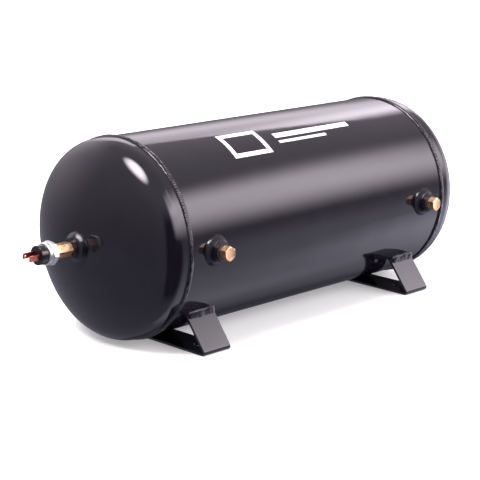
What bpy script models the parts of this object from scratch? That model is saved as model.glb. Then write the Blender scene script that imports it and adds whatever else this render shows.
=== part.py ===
"""Air receiver tank, modelled as the separate pieces that it is welded and screwed together from.

Metres, +Z up. The tank's axis runs along X, the pressure switch points to -X, the two front ports
point to -Y, and the feet stand on z = 0. The origin is under the middle of the object's bounding box.

Pieces are modelled in axis frames: empties whose +Z runs outwards from the middle of the tank along
a port or an end. A length "out" below is measured along such an axis from the tank's middle.
"""

import math

import bmesh
import bpy
from mathutils import Vector

MM = 0.001
GAP = 0.3 * MM  # clearance between neighbouring pieces
CUT_MARGIN = 3.0 * MM  # how far a cutter runs past the faces that it cuts

# Pressure vessel
SHELL_RADIUS = 111.0 * MM
WALL = 2.5 * MM
GIRTH_WELD_OUT = 215.0 * MM  # middle of each girth weld
ROOT_HALF_WIDTH = 1.0 * MM  # half the gap that a weld's root fills
FLANGE_OUT = 224.5 * MM  # where a head's straight flange ends
KNUCKLE_RADIUS = 27.5 * MM
CROWN_RADIUS = 185.0 * MM
SHELL_STEP = math.radians(6)  # one facet of the shell and the heads
SEAM_ANGLE = math.radians(-24)  # the rolled shell's seam, from +Y towards +Z
GIRTH_BEAD_HALF_WIDTH = 3.6 * MM
GIRTH_BEAD_HEIGHT = 2.3 * MM
BEAD_SHOULDER_WIDTH = 0.6  # a bead's shoulders, as shares of its half width and height
BEAD_SHOULDER_HEIGHT = 0.8
SEAM_BEAD_HALF_WIDTH = 3.0 * MM
SEAM_BEAD_HEIGHT = 1.4 * MM
SEAM_BEAD_TOP = 0.5  # width of the seam bead's flat top, as a share of its whole width

# Feet
FOOT_OUT = 174.0 * MM  # middle of each foot along X
FOOT_WIDTH = 40.0 * MM
FOOT_PLATE = 3.0 * MM
FOOT_HALF_DEPTH = 114.0 * MM  # to the corner where the base and the slope would meet
FOOT_SLOPE = math.radians(52.5)
FOOT_BEND_RADIUS = 3.6 * MM  # outside of the bend
FOOT_TOP_RADIUS = SHELL_RADIUS + 1.5 * GAP  # the sides stop here, from the tank's axis
FOOT_BOLT_Y = 80.0 * MM
FOOT_BOLT_HOLE_RADIUS = 4.5 * MM  # clears an M8 bolt
FOOT_WELD_LEG = 5.0 * MM
FOOT_WELD_CROWN = 0.4 * MM

# Threaded bosses, one design for all three ports
PORT_OUT = 178.0 * MM  # front ports along X
BOSS_RADIUS = 11.4 * MM
BOSS_LIP_RADIUS = 10.2 * MM
BOSS_LIP_HEIGHT = 1.2 * MM
BOSS_HEIGHT = 10.0 * MM  # above the vessel's surface
BOSS_SPIGOT_RADIUS = 10.0 * MM
BOSS_SPIGOT_DEPTH = 6.0 * MM  # below the vessel's surface
BOSS_BORE_RADIUS = 6.8 * MM
BOSS_WELD_RADIUS = 17.2 * MM
BOSS_WELD_HEIGHT = 6.4 * MM
BOSS_WELD_TOE = 0.6 * MM
WELD_SINK = 3.0 * MM  # how far a ring weld starts below the shell before the shell trims it

# Quarter-inch pipe plugs and their sealing washers
THREAD_RADIUS = 6.5 * MM
PLUG_FLATS = 14.3 * MM
PLUG_HEAD = 9.0 * MM
PLUG_THREAD = 9.2 * MM  # length of thread inside the boss
PLUG_CHAMFER = 0.7 * MM
WASHER_RADIUS = 9.4 * MM
WASHER_THICKNESS = 1.2 * MM

# Flush drain in the bottom of the shell
DRAIN_BOSS_RADIUS = 13.0 * MM
DRAIN_BOSS_DEPTH = 14.0 * MM
DRAIN_WELD_RADIUS = 17.0 * MM
DRAIN_WELD_TOP_RADIUS = 15.8 * MM
DRAIN_WELD_HEIGHT = 1.6 * MM
DRAIN_PLUG_LENGTH = 9.5 * MM
DRAIN_PLUG_RECESS = 0.5 * MM
DRAIN_SOCKET_FLATS = 6.35 * MM
DRAIN_SOCKET_DEPTH = 5.0 * MM

# Pressure switch, each length along the switch's axis
SWITCH_CLOCKING = math.radians(-8)  # how far round its thread the switch stopped
ADAPTER_FLATS = 14.3 * MM
ADAPTER_HEX = 22.4 * MM
ADAPTER_PORT_RADIUS = 5.3 * MM
ADAPTER_PORT_DEPTH = 9.7 * MM
ADAPTER_WAY_RADIUS = 3.0 * MM
STEM_RADIUS = 5.0 * MM
STEM_LENGTH = 9.0 * MM
STEM_WAY_RADIUS = 1.5 * MM
SWITCH_FLATS = 23.0 * MM
SWITCH_HEX = 7.0 * MM
COLLAR_NECK_RADIUS = 11.3 * MM  # the undercut between the hexagon and the collar
COLLAR_NECK = 0.5 * MM
COLLAR_RADIUS = 12.3 * MM
COLLAR_LENGTH = 5.0 * MM
COLLAR_BORE_RADIUS = 11.4 * MM
CRIMP_RADIUS = 10.7 * MM
CRIMP_THICKNESS = 0.8 * MM
POCKET_RADIUS = 9.4 * MM
POCKET_FLOOR = 2.6 * MM  # from the hexagon's inner face
ORING_MEAN_RADIUS = 8.2 * MM
ORING_SECTION_RADIUS = 0.8 * MM
DIAPHRAGM_THICKNESS = 0.4 * MM
GUIDE_THICKNESS = 2.9 * MM
GUIDE_RECESS_RADIUS = 3.3 * MM
GUIDE_RECESS_DEPTH = 1.9 * MM
PLUNGER_HEAD_RADIUS = 3.0 * MM
PLUNGER_HEAD = 0.8 * MM
PLUNGER_STEM_RADIUS = 1.3 * MM
PLUNGER_LENGTH = 6.9 * MM
CAP_FLANGE_RADIUS = 11.1 * MM
CAP_FLANGE = 2.2 * MM
CAP_RADIUS = 10.4 * MM
CAP_LENGTH = 12.3 * MM
CAP_EDGE = 0.3 * MM  # chamfer round the cap's end
CAP_CHAMBER_RADIUS = 8.6 * MM
CAP_END_WALL = 3.0 * MM
TERMINAL_SPACING = 11.0 * MM
TERMINAL_THICKNESS = 0.8 * MM
TERMINAL_WIDTH = 6.3 * MM
TERMINAL_REACH = 13.6 * MM  # beyond the cap
TERMINAL_TIP_CHAMFER = 1.0 * MM
TERMINAL_NECK_THICKNESS = 0.6 * MM  # coined down, where it passes through the cap
TERMINAL_NECK_WIDTH = 5.7 * MM
TERMINAL_HOLE_RADIUS = 0.9 * MM
TERMINAL_HOLE_FROM_TIP = 3.4 * MM
CONTACT_INNER = 2.6 * MM  # from the switch's axis to the inner end of a fixed contact
BRIDGE_LENGTH = 9.0 * MM
BRIDGE_WIDTH = 4.0 * MM
BRIDGE_THICKNESS = 0.6 * MM
SPRING_MEAN_RADIUS = 2.0 * MM
SPRING_WIRE_RADIUS = 0.25 * MM
SPRING_TURNS = 4
SPRING_LENGTH = 4.1 * MM

# Places along the axes that follow from the sizes above
CROWN_CENTRE_BACK = math.sqrt(
    (CROWN_RADIUS - KNUCKLE_RADIUS) ** 2 - (SHELL_RADIUS - KNUCKLE_RADIUS) ** 2
)
CROWN_CENTRE_OUT = FLANGE_OUT - CROWN_CENTRE_BACK
HEAD_APEX_OUT = CROWN_CENTRE_OUT + CROWN_RADIUS
PLUG_HEAD_OUT = SHELL_RADIUS + BOSS_HEIGHT + GAP + WASHER_THICKNESS + GAP
ADAPTER_HEX_OUT = HEAD_APEX_OUT + BOSS_HEIGHT + GAP
SWITCH_HEX_OUT = ADAPTER_HEX_OUT + ADAPTER_HEX + GAP
POCKET_OUT = SWITCH_HEX_OUT + POCKET_FLOOR
DIAPHRAGM_OUT = POCKET_OUT + GAP + 2 * ORING_SECTION_RADIUS + GAP
GUIDE_OUT = DIAPHRAGM_OUT + DIAPHRAGM_THICKNESS + GAP
CAP_OUT = GUIDE_OUT + GUIDE_THICKNESS + GAP
CAP_END_OUT = CAP_OUT + CAP_LENGTH
CONTACT_OUT = GUIDE_OUT + PLUNGER_LENGTH - TERMINAL_THICKNESS
BRIDGE_OUT = CONTACT_OUT + TERMINAL_THICKNESS + GAP
SPRING_OUT = BRIDGE_OUT + BRIDGE_THICKNESS + GAP
TERMINAL_TIP_OUT = CAP_END_OUT + TERMINAL_REACH

# The tank's middle, seen from an origin under the middle of the object's bounding box
AXIS_HEIGHT = SHELL_RADIUS + GAP + FOOT_PLATE
TANK_X = (TERMINAL_TIP_OUT - HEAD_APEX_OUT) / 2
TANK_Y = (PLUG_HEAD_OUT + PLUG_HEAD - SHELL_RADIUS - GIRTH_BEAD_HEIGHT) / 2

# How finely round shapes are faceted
SHELL_SIDES = round(math.tau / SHELL_STEP)
BOSS_SIDES = 24
SMALL_SIDES = 16
TERMINAL_HOLE_SIDES = 12
ORING_SECTION_SIDES = 6
SPRING_TURN_POINTS = 10
SPRING_WIRE_SIDES = 5
DISH_STEPS = 4  # along the knuckle, and again along the crown
BEND_STEPS = 4


def clear_scene():
    for thing in list(bpy.data.objects):
        bpy.data.objects.remove(thing)


def make_material(name, colour, roughness, metallic):
    material = bpy.data.materials.new(name)
    material.use_nodes = True
    shader = material.node_tree.nodes["Principled BSDF"]
    shader.inputs["Base Color"].default_value = (*colour, 1)
    shader.inputs["Roughness"].default_value = roughness
    shader.inputs["Metallic"].default_value = metallic
    return material


def add_frame(name, parent=None, location=(0, 0, 0), rotation=(0, 0, 0)):
    """An empty that pieces are parented to."""
    frame = bpy.data.objects.new(name, None)
    frame.parent = parent
    frame.location = location
    frame.rotation_euler = rotation
    bpy.context.scene.collection.objects.link(frame)
    return frame


def add_piece(name, mesh, parent, material=None):
    piece = bpy.data.objects.new(name, mesh)
    piece.parent = parent
    bpy.context.scene.collection.objects.link(piece)
    if material:
        mesh.materials.append(material)
        mesh.shade_smooth()
        mesh.set_sharp_from_angle(angle=math.radians(30))
    return piece


def add_cutter(name, mesh, parent):
    cutter = add_piece(name, mesh, parent)
    cutter.hide_render = True
    cutter.display_type = "WIRE"
    return cutter


def combine(piece, other, operation="DIFFERENCE"):
    modifier = piece.modifiers.new(f"{operation.lower()}_{other.name}", "BOOLEAN")
    modifier.operation = operation
    modifier.object = other


def finish_mesh(shape, name):
    """Turns a closed bmesh into a mesh whose faces point out."""
    bmesh.ops.recalc_face_normals(shape, faces=shape.faces)
    mesh = bpy.data.meshes.new(name)
    shape.to_mesh(mesh)
    shape.free()
    return mesh


def corner_radius(flats):
    """Radius of the circle through the corners of a hexagon of this width across its flats."""
    return flats / 2 / math.cos(math.pi / 6)


def ring_radius(radius, flats, angle):
    """Distance from the axis: a circle, or a hexagon whose corners the circle trims."""
    if flats is None:
        return radius
    from_flat = (angle + math.pi / 6) % (math.pi / 3) - math.pi / 6
    return min(radius, flats / 2 / math.cos(from_flat))


def turned(name, stations, sides, hollow=False):
    """Turns stations (out, radius[, flats]) about +Z. A hollow profile closes on itself."""
    shape = bmesh.new()
    rings = []
    for out, radius, *flats in stations:
        if radius == 0:
            rings.append([shape.verts.new((0, 0, out))])
            continue
        ring = []
        for side in range(sides):
            angle = math.tau * side / sides
            reach = ring_radius(radius, flats[0] if flats else None, angle)
            ring.append(shape.verts.new((reach * math.cos(angle), reach * math.sin(angle), out)))
        rings.append(ring)
    if hollow:
        rings.append(rings[0])
    for low, high in zip(rings, rings[1:]):
        for side in range(sides):
            after = (side + 1) % sides
            if len(low) == 1:
                shape.faces.new((low[0], high[side], high[after]))
            elif len(high) == 1:
                shape.faces.new((low[side], high[0], low[after]))
            else:
                shape.faces.new((low[side], high[side], high[after], low[after]))
    return finish_mesh(shape, name)


def cylinder(name, radius, start, end, sides=BOSS_SIDES):
    return turned(name, [(start, 0), (start, radius), (end, radius), (end, 0)], sides)


def prism(name, outline, start, end, point_at):
    """Extrudes an outline from start to end. point_at(a, b, depth) places a corner."""
    shape = bmesh.new()
    ends = [[shape.verts.new(point_at(a, b, depth)) for a, b in outline] for depth in (start, end)]
    for first, second in zip(range(len(outline)), [*range(1, len(outline)), 0]):
        shape.faces.new((ends[0][first], ends[0][second], ends[1][second], ends[1][first]))
    for corners in ends:
        shape.faces.new(corners)
    return finish_mesh(shape, name)


def rolled_plate(name, pairs, start, end):
    """Extrudes a bent sheet along X. Each pair is its outer and inner surface point (y, z)."""
    shape = bmesh.new()
    rows = [
        [[shape.verts.new((x, *point)) for point in pair] for pair in pairs] for x in (start, end)
    ]
    for here in range(len(pairs) - 1):
        there = here + 1
        for side in (0, 1):
            shape.faces.new(
                (rows[0][here][side], rows[0][there][side], rows[1][there][side], rows[1][here][side])
            )
        for row in rows:
            shape.faces.new((row[here][0], row[there][0], row[there][1], row[here][1]))
    for edge in (0, -1):
        shape.faces.new((rows[0][edge][0], rows[0][edge][1], rows[1][edge][1], rows[1][edge][0]))
    return finish_mesh(shape, name)


def box(name, low, high):
    outline = [(low[1], low[2]), (high[1], low[2]), (high[1], high[2]), (low[1], high[2])]
    return prism(name, outline, low[0], high[0], lambda y, z, x: (x, y, z))


def arc(radius, start, end, steps):
    """Offsets (along, across) of an arc, from its start angle to its end angle."""
    angles = (start + (end - start) * step / steps for step in range(steps + 1))
    return [(radius * math.cos(angle), radius * math.sin(angle)) for angle in angles]


# Vessel


def dish_profile(inset, hole_radius):
    """Stations of a dished head's surface, inset from its outside, from the flange to the middle."""
    knuckle = KNUCKLE_RADIUS - inset
    crown = CROWN_RADIUS - inset
    turn = math.atan2(SHELL_RADIUS - KNUCKLE_RADIUS, CROWN_CENTRE_BACK)
    stations = [(GIRTH_WELD_OUT + ROOT_HALF_WIDTH, SHELL_RADIUS - inset)]
    for along, across in arc(knuckle, math.pi / 2, turn, DISH_STEPS):
        stations.append((FLANGE_OUT + along, SHELL_RADIUS - KNUCKLE_RADIUS + across))
    edge = math.asin(hole_radius / crown)
    for along, across in arc(crown, turn, edge, DISH_STEPS)[1:]:
        stations.append((CROWN_CENTRE_OUT + along, across))
    return stations


def add_head(name, frame, material, hole_radius=0):
    """A dished head, out from its middle over the outside to the flange, and back along the inside."""
    outside = dish_profile(0, hole_radius)
    inside = dish_profile(WALL, hole_radius)
    mesh = turned(name, outside[::-1] + inside, SHELL_SIDES, hollow=hole_radius > 0)
    return add_piece(name, mesh, frame, material)


def add_girth_weld(name, frame, material):
    """A rounded bead over the joint between shell and head, with a root through the wall."""
    surface = SHELL_RADIUS + GAP
    shoulder_along = BEAD_SHOULDER_WIDTH * GIRTH_BEAD_HALF_WIDTH
    shoulder = SHELL_RADIUS + BEAD_SHOULDER_HEIGHT * GIRTH_BEAD_HEIGHT
    root = ROOT_HALF_WIDTH - GAP
    root_bottom = SHELL_RADIUS - WALL
    section = [
        (-GIRTH_BEAD_HALF_WIDTH, surface),
        (-shoulder_along, shoulder),
        (0, SHELL_RADIUS + GIRTH_BEAD_HEIGHT),
        (shoulder_along, shoulder),
        (GIRTH_BEAD_HALF_WIDTH, surface),
        (root, surface),
        (root, root_bottom),
        (-root, root_bottom),
        (-root, surface),
    ]
    stations = [(GIRTH_WELD_OUT + along, radius) for along, radius in section]
    return add_piece(name, turned(name, stations, SHELL_SIDES, hollow=True), frame, material)


def add_shell(tank, material):
    """The shell is a sheet rolled from one side of its seam right round to the other."""
    slot = ROOT_HALF_WIDTH / SHELL_RADIUS
    angles = [SEAM_ANGLE + SHELL_STEP * side for side in range(SHELL_SIDES + 1)]
    angles[0] += slot
    angles[-1] -= slot
    surfaces = (SHELL_RADIUS, SHELL_RADIUS - WALL)
    pairs = [[(r * math.cos(angle), r * math.sin(angle)) for r in surfaces] for angle in angles]
    half = GIRTH_WELD_OUT - ROOT_HALF_WIDTH
    return add_piece("shell", rolled_plate("shell", pairs, -half, half), tank, material)


def add_seam_weld(tank, material):
    """A bead with a flat root, lying in the rolled shell's slot between the two girth welds."""
    root = ROOT_HALF_WIDTH - GAP
    under = SHELL_RADIUS + GAP
    top = SHELL_RADIUS + SEAM_BEAD_HEIGHT
    top_half = SEAM_BEAD_TOP * SEAM_BEAD_HALF_WIDTH
    section = [
        (-root, SHELL_RADIUS - WALL),
        (root, SHELL_RADIUS - WALL),
        (root, under),
        (SEAM_BEAD_HALF_WIDTH, under),
        (top_half, top),
        (-top_half, top),
        (-SEAM_BEAD_HALF_WIDTH, under),
        (-root, under),
    ]
    half = GIRTH_WELD_OUT - GIRTH_BEAD_HALF_WIDTH - GAP
    mesh = prism("shell_seam_weld", section, -half, half, lambda across, out, x: (x, out, across))
    weld = add_piece("shell_seam_weld", mesh, tank, material)
    weld.rotation_euler.x = SEAM_ANGLE
    return weld


def add_hole(name, frame, radius):
    """A cutter right through one side of the shell's wall."""
    mesh = cylinder(name, radius, SHELL_RADIUS - WALL - CUT_MARGIN, SHELL_RADIUS + CUT_MARGIN)
    return add_cutter(name, mesh, frame)


# Feet


def foot_pairs():
    """Outer and inner points of the strap, from its front top edge round under the tank to the back."""
    corner = Vector((-FOOT_HALF_DEPTH, -AXIS_HEIGHT))
    up_slope = Vector((math.cos(FOOT_SLOPE), math.sin(FOOT_SLOPE)))
    inwards = Vector((math.sin(FOOT_SLOPE), -math.cos(FOOT_SLOPE)))

    inner_corner = corner + inwards * FOOT_PLATE
    nearest = -inner_corner.dot(up_slope)
    miss_squared = inner_corner.length_squared - nearest**2
    rise = nearest - math.sqrt(FOOT_TOP_RADIUS**2 - miss_squared)
    top_inner = inner_corner + up_slope * rise
    front = [(top_inner - inwards * FOOT_PLATE, top_inner)]

    tangent = FOOT_BEND_RADIUS / math.tan(FOOT_SLOPE / 2)
    centre = corner + Vector((tangent, FOOT_BEND_RADIUS))
    for across, up in arc(1, math.pi / 2 + FOOT_SLOPE, 3 * math.pi / 2, BEND_STEPS):
        way = Vector((across, up))
        front.append((centre + way * FOOT_BEND_RADIUS, centre + way * (FOOT_BEND_RADIUS - FOOT_PLATE)))

    back = [tuple(Vector((-point.x, point.y)) for point in pair) for pair in reversed(front)]
    return front + back


def add_foot(name, frame, material):
    """One strap, bent up on both sides, with a bolt hole through its base at the front and the back."""
    half = FOOT_WIDTH / 2
    foot = add_piece(name, rolled_plate(name, foot_pairs(), -half, half), frame, material)
    for side, side_name in ((-1, "front"), (1, "rear")):
        hole_name = f"{name}_{side_name}_hole"
        low = -AXIS_HEIGHT - CUT_MARGIN
        high = -AXIS_HEIGHT + FOOT_PLATE + CUT_MARGIN
        hole = add_cutter(hole_name, cylinder(hole_name, FOOT_BOLT_HOLE_RADIUS, low, high), frame)
        hole.location.y = side * FOOT_BOLT_Y
        combine(foot, hole)
    return foot


def add_foot_welds(foot_name, frame, material):
    """A fillet along the top edge of each sloped side, in the corner with the shell."""
    outer, inner = foot_pairs()[0]
    up_slope = Vector((math.cos(FOOT_SLOPE), math.sin(FOOT_SLOPE)))
    outwards = (outer - inner).normalized()
    corner = outer + outwards * GAP
    toe = corner - up_slope * FOOT_WELD_LEG
    root_angle = math.atan2(corner.y, corner.x)
    tip_angle = root_angle - FOOT_WELD_LEG / FOOT_TOP_RADIUS
    root = FOOT_TOP_RADIUS * Vector((math.cos(root_angle), math.sin(root_angle)))
    tip = FOOT_TOP_RADIUS * Vector((math.cos(tip_angle), math.sin(tip_angle)))
    crown = (toe + tip) / 2 + outwards * FOOT_WELD_CROWN
    half = FOOT_WIDTH / 2
    for side_name, turn in (("front", 0), ("rear", math.pi)):
        name = f"{foot_name}_{side_name}_weld"
        mesh = prism(name, [root, toe, crown, tip], -half, half, lambda y, z, x: (x, y, z))
        add_piece(name, mesh, frame, material).rotation_euler.z = turn


# Ports


def add_boss(name, frame, surface, material):
    """A bung with a spigot through the wall and a stepped outer face round its bore."""
    shoulder = surface + GAP
    end = surface + BOSS_HEIGHT
    bottom = surface - BOSS_SPIGOT_DEPTH
    stations = [
        (bottom, BOSS_BORE_RADIUS),
        (bottom, BOSS_SPIGOT_RADIUS),
        (shoulder, BOSS_SPIGOT_RADIUS),
        (shoulder, BOSS_RADIUS),
        (end - BOSS_LIP_HEIGHT, BOSS_RADIUS),
        (end - BOSS_LIP_HEIGHT, BOSS_LIP_RADIUS),
        (end, BOSS_LIP_RADIUS),
        (end, BOSS_BORE_RADIUS),
    ]
    return add_piece(name, turned(name, stations, BOSS_SIDES, hollow=True), frame, material)


def add_shell_boss_weld(name, frame, shell_cutter, material):
    """The conical fillet round a boss, trimmed to the shell's curve."""
    inner = BOSS_RADIUS + GAP
    bottom = SHELL_RADIUS - WELD_SINK
    stations = [
        (bottom, inner),
        (SHELL_RADIUS + BOSS_WELD_HEIGHT, inner),
        (SHELL_RADIUS + BOSS_WELD_HEIGHT, inner + BOSS_WELD_TOE),
        (SHELL_RADIUS + BOSS_WELD_TOE, BOSS_WELD_RADIUS),
        (bottom, BOSS_WELD_RADIUS),
    ]
    weld = add_piece(name, turned(name, stations, BOSS_SIDES, hollow=True), frame, material)
    combine(weld, shell_cutter)
    return weld


def crown_drop(radius):
    """How far a head's crown has fallen away from its apex at this distance from the axis."""
    return CROWN_RADIUS - math.sqrt(CROWN_RADIUS**2 - radius**2)


def add_head_boss_weld(name, frame, material):
    """The same fillet on a head, with an underside that follows the crown."""
    surface = HEAD_APEX_OUT + GAP
    top = HEAD_APEX_OUT + BOSS_WELD_HEIGHT
    inner = BOSS_RADIUS + GAP
    toe = surface - crown_drop(BOSS_WELD_RADIUS)
    stations = [
        (surface - crown_drop(inner), inner),
        (top, inner),
        (top, inner + BOSS_WELD_TOE),
        (toe + BOSS_WELD_TOE, BOSS_WELD_RADIUS),
        (toe, BOSS_WELD_RADIUS),
    ]
    return add_piece(name, turned(name, stations, BOSS_SIDES, hollow=True), frame, material)


def add_plug(name, frame, material):
    """A hexagon-headed pipe plug, its head's outer corners chamfered round."""
    corner = corner_radius(PLUG_FLATS)
    end = PLUG_HEAD_OUT + PLUG_HEAD
    thread_end = SHELL_RADIUS + BOSS_HEIGHT - PLUG_THREAD
    stations = [
        (thread_end, 0),
        (thread_end, THREAD_RADIUS - PLUG_CHAMFER),
        (thread_end + PLUG_CHAMFER, THREAD_RADIUS),
        (PLUG_HEAD_OUT, THREAD_RADIUS),
        (PLUG_HEAD_OUT, corner, PLUG_FLATS),
        (end - PLUG_CHAMFER, corner, PLUG_FLATS),
        (end, PLUG_FLATS / 2, PLUG_FLATS),
        (end, 0),
    ]
    return add_piece(name, turned(name, stations, BOSS_SIDES), frame, material)


def add_washer(name, frame, material):
    start = SHELL_RADIUS + BOSS_HEIGHT + GAP
    end = start + WASHER_THICKNESS
    inner = THREAD_RADIUS + GAP
    stations = [(start, inner), (start, WASHER_RADIUS), (end, WASHER_RADIUS), (end, inner)]
    return add_piece(name, turned(name, stations, BOSS_SIDES, hollow=True), frame, material)


def add_drain(frame, shell_cutter, steel, black):
    """A flush boss, its low weld ring and a socket plug that stays clear of the ground."""
    inner = SHELL_RADIUS - DRAIN_BOSS_DEPTH
    boss = [
        (inner, BOSS_BORE_RADIUS),
        (inner, DRAIN_BOSS_RADIUS),
        (SHELL_RADIUS, DRAIN_BOSS_RADIUS),
        (SHELL_RADIUS, BOSS_BORE_RADIUS),
    ]
    add_piece("drain_boss", turned("drain_boss", boss, BOSS_SIDES, hollow=True), frame, black)

    ring_in = DRAIN_BOSS_RADIUS + GAP
    bottom = SHELL_RADIUS - WELD_SINK
    top = SHELL_RADIUS + DRAIN_WELD_HEIGHT
    ring = [
        (bottom, ring_in),
        (top, ring_in),
        (top, DRAIN_WELD_TOP_RADIUS),
        (bottom, DRAIN_WELD_RADIUS),
    ]
    weld = add_piece("drain_weld", turned("drain_weld", ring, BOSS_SIDES, hollow=True), frame, black)
    combine(weld, shell_cutter)

    end = SHELL_RADIUS - DRAIN_PLUG_RECESS
    socket = end - DRAIN_SOCKET_DEPTH
    socket_corner = corner_radius(DRAIN_SOCKET_FLATS)
    plug = [
        (end - DRAIN_PLUG_LENGTH, 0),
        (end - DRAIN_PLUG_LENGTH, THREAD_RADIUS),
        (end, THREAD_RADIUS),
        (end, socket_corner, DRAIN_SOCKET_FLATS),
        (socket, socket_corner, DRAIN_SOCKET_FLATS),
        (socket, 0),
    ]
    add_piece("drain_plug", turned("drain_plug", plug, BOSS_SIDES), frame, steel)


# Pressure switch


def add_adapter(frame, material):
    """Brass hexagon with a thread into the boss and a threaded port for the switch's stem."""
    start = ADAPTER_HEX_OUT
    end = start + ADAPTER_HEX
    thread_end = HEAD_APEX_OUT + BOSS_HEIGHT - PLUG_THREAD
    corner = corner_radius(ADAPTER_FLATS)
    stations = [
        (thread_end, ADAPTER_WAY_RADIUS),
        (thread_end, THREAD_RADIUS),
        (start, THREAD_RADIUS),
        (start, corner, ADAPTER_FLATS),
        (end, corner, ADAPTER_FLATS),
        (end, ADAPTER_PORT_RADIUS),
        (end - ADAPTER_PORT_DEPTH, ADAPTER_PORT_RADIUS),
        (end - ADAPTER_PORT_DEPTH, ADAPTER_WAY_RADIUS),
    ]
    mesh = turned("switch_adapter", stations, BOSS_SIDES, hollow=True)
    return add_piece("switch_adapter", mesh, frame, material)


def add_switch_body(frame, material):
    """Hexagon with a stem below it and a collar above it, crimped in over the cap's flange."""
    hex_end = SWITCH_HEX_OUT + SWITCH_HEX
    collar_end = hex_end + COLLAR_LENGTH
    corner = corner_radius(SWITCH_FLATS)
    step = CAP_OUT - GAP
    stations = [
        (SWITCH_HEX_OUT - STEM_LENGTH, STEM_WAY_RADIUS),
        (SWITCH_HEX_OUT - STEM_LENGTH, STEM_RADIUS),
        (SWITCH_HEX_OUT, STEM_RADIUS),
        (SWITCH_HEX_OUT, corner, SWITCH_FLATS),
        (hex_end, corner, SWITCH_FLATS),
        (hex_end, COLLAR_NECK_RADIUS),
        (hex_end + COLLAR_NECK, COLLAR_RADIUS),
        (collar_end, COLLAR_RADIUS),
        (collar_end, CRIMP_RADIUS),
        (collar_end - CRIMP_THICKNESS, CRIMP_RADIUS),
        (collar_end - CRIMP_THICKNESS, COLLAR_BORE_RADIUS),
        (step, COLLAR_BORE_RADIUS),
        (step, POCKET_RADIUS),
        (POCKET_OUT, POCKET_RADIUS),
        (POCKET_OUT, STEM_WAY_RADIUS),
    ]
    mesh = turned("switch_body", stations, BOSS_SIDES, hollow=True)
    return add_piece("switch_body", mesh, frame, material)


def add_oring(frame, material):
    middle = POCKET_OUT + GAP + ORING_SECTION_RADIUS
    circle = arc(ORING_SECTION_RADIUS, 0, math.tau, ORING_SECTION_SIDES)[:-1]
    section = [(middle + along, ORING_MEAN_RADIUS + across) for along, across in circle]
    mesh = turned("switch_oring", section, SMALL_SIDES, hollow=True)
    return add_piece("switch_oring", mesh, frame, material)


def add_diaphragm(frame, material):
    end = DIAPHRAGM_OUT + DIAPHRAGM_THICKNESS
    mesh = cylinder("switch_diaphragm", POCKET_RADIUS - GAP, DIAPHRAGM_OUT, end, SMALL_SIDES)
    return add_piece("switch_diaphragm", mesh, frame, material)


def add_plunger_guide(frame, material):
    """A disc that the plunger's stem slides through, recessed underneath for the plunger's head."""
    rim = POCKET_RADIUS - GAP
    end = GUIDE_OUT + GUIDE_THICKNESS
    recess = GUIDE_OUT + GUIDE_RECESS_DEPTH
    stem_hole = PLUNGER_STEM_RADIUS + GAP
    stations = [
        (GUIDE_OUT, GUIDE_RECESS_RADIUS),
        (GUIDE_OUT, rim),
        (end, rim),
        (end, stem_hole),
        (recess, stem_hole),
        (recess, GUIDE_RECESS_RADIUS),
    ]
    mesh = turned("plunger_guide", stations, SMALL_SIDES, hollow=True)
    return add_piece("plunger_guide", mesh, frame, material)


def add_plunger(frame, material):
    head_end = GUIDE_OUT + PLUNGER_HEAD
    end = GUIDE_OUT + PLUNGER_LENGTH
    stations = [
        (GUIDE_OUT, 0),
        (GUIDE_OUT, PLUNGER_HEAD_RADIUS),
        (head_end, PLUNGER_HEAD_RADIUS),
        (head_end, PLUNGER_STEM_RADIUS),
        (end, PLUNGER_STEM_RADIUS),
        (end, 0),
    ]
    return add_piece("switch_plunger", turned("switch_plunger", stations, SMALL_SIDES), frame, material)


def add_contact_bridge(frame, material):
    low = (-BRIDGE_WIDTH / 2, -BRIDGE_LENGTH / 2, BRIDGE_OUT)
    high = (BRIDGE_WIDTH / 2, BRIDGE_LENGTH / 2, BRIDGE_OUT + BRIDGE_THICKNESS)
    return add_piece("contact_bridge", box("contact_bridge", low, high), frame, material)


def add_spring(frame, material):
    """A helix of wire, closed by a flat face at each end."""
    count = SPRING_TURNS * SPRING_TURN_POINTS + 1
    rise = SPRING_LENGTH - 2 * SPRING_WIRE_RADIUS
    shape = bmesh.new()
    rings = []
    for point in range(count):
        turn = math.tau * point / SPRING_TURN_POINTS
        centre = SPRING_OUT + SPRING_WIRE_RADIUS + rise * point / (count - 1)
        ring = []
        for sideways, along in arc(SPRING_WIRE_RADIUS, 0, math.tau, SPRING_WIRE_SIDES)[:-1]:
            reach = SPRING_MEAN_RADIUS + sideways
            place = (reach * math.cos(turn), reach * math.sin(turn), centre + along)
            ring.append(shape.verts.new(place))
        rings.append(ring)
    for low, high in zip(rings, rings[1:]):
        for side in range(SPRING_WIRE_SIDES):
            after = (side + 1) % SPRING_WIRE_SIDES
            shape.faces.new((low[side], high[side], high[after], low[after]))
    for end in (rings[0], rings[-1]):
        shape.faces.new(end)
    return add_piece("return_spring", finish_mesh(shape, "return_spring"), frame, material)


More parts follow.
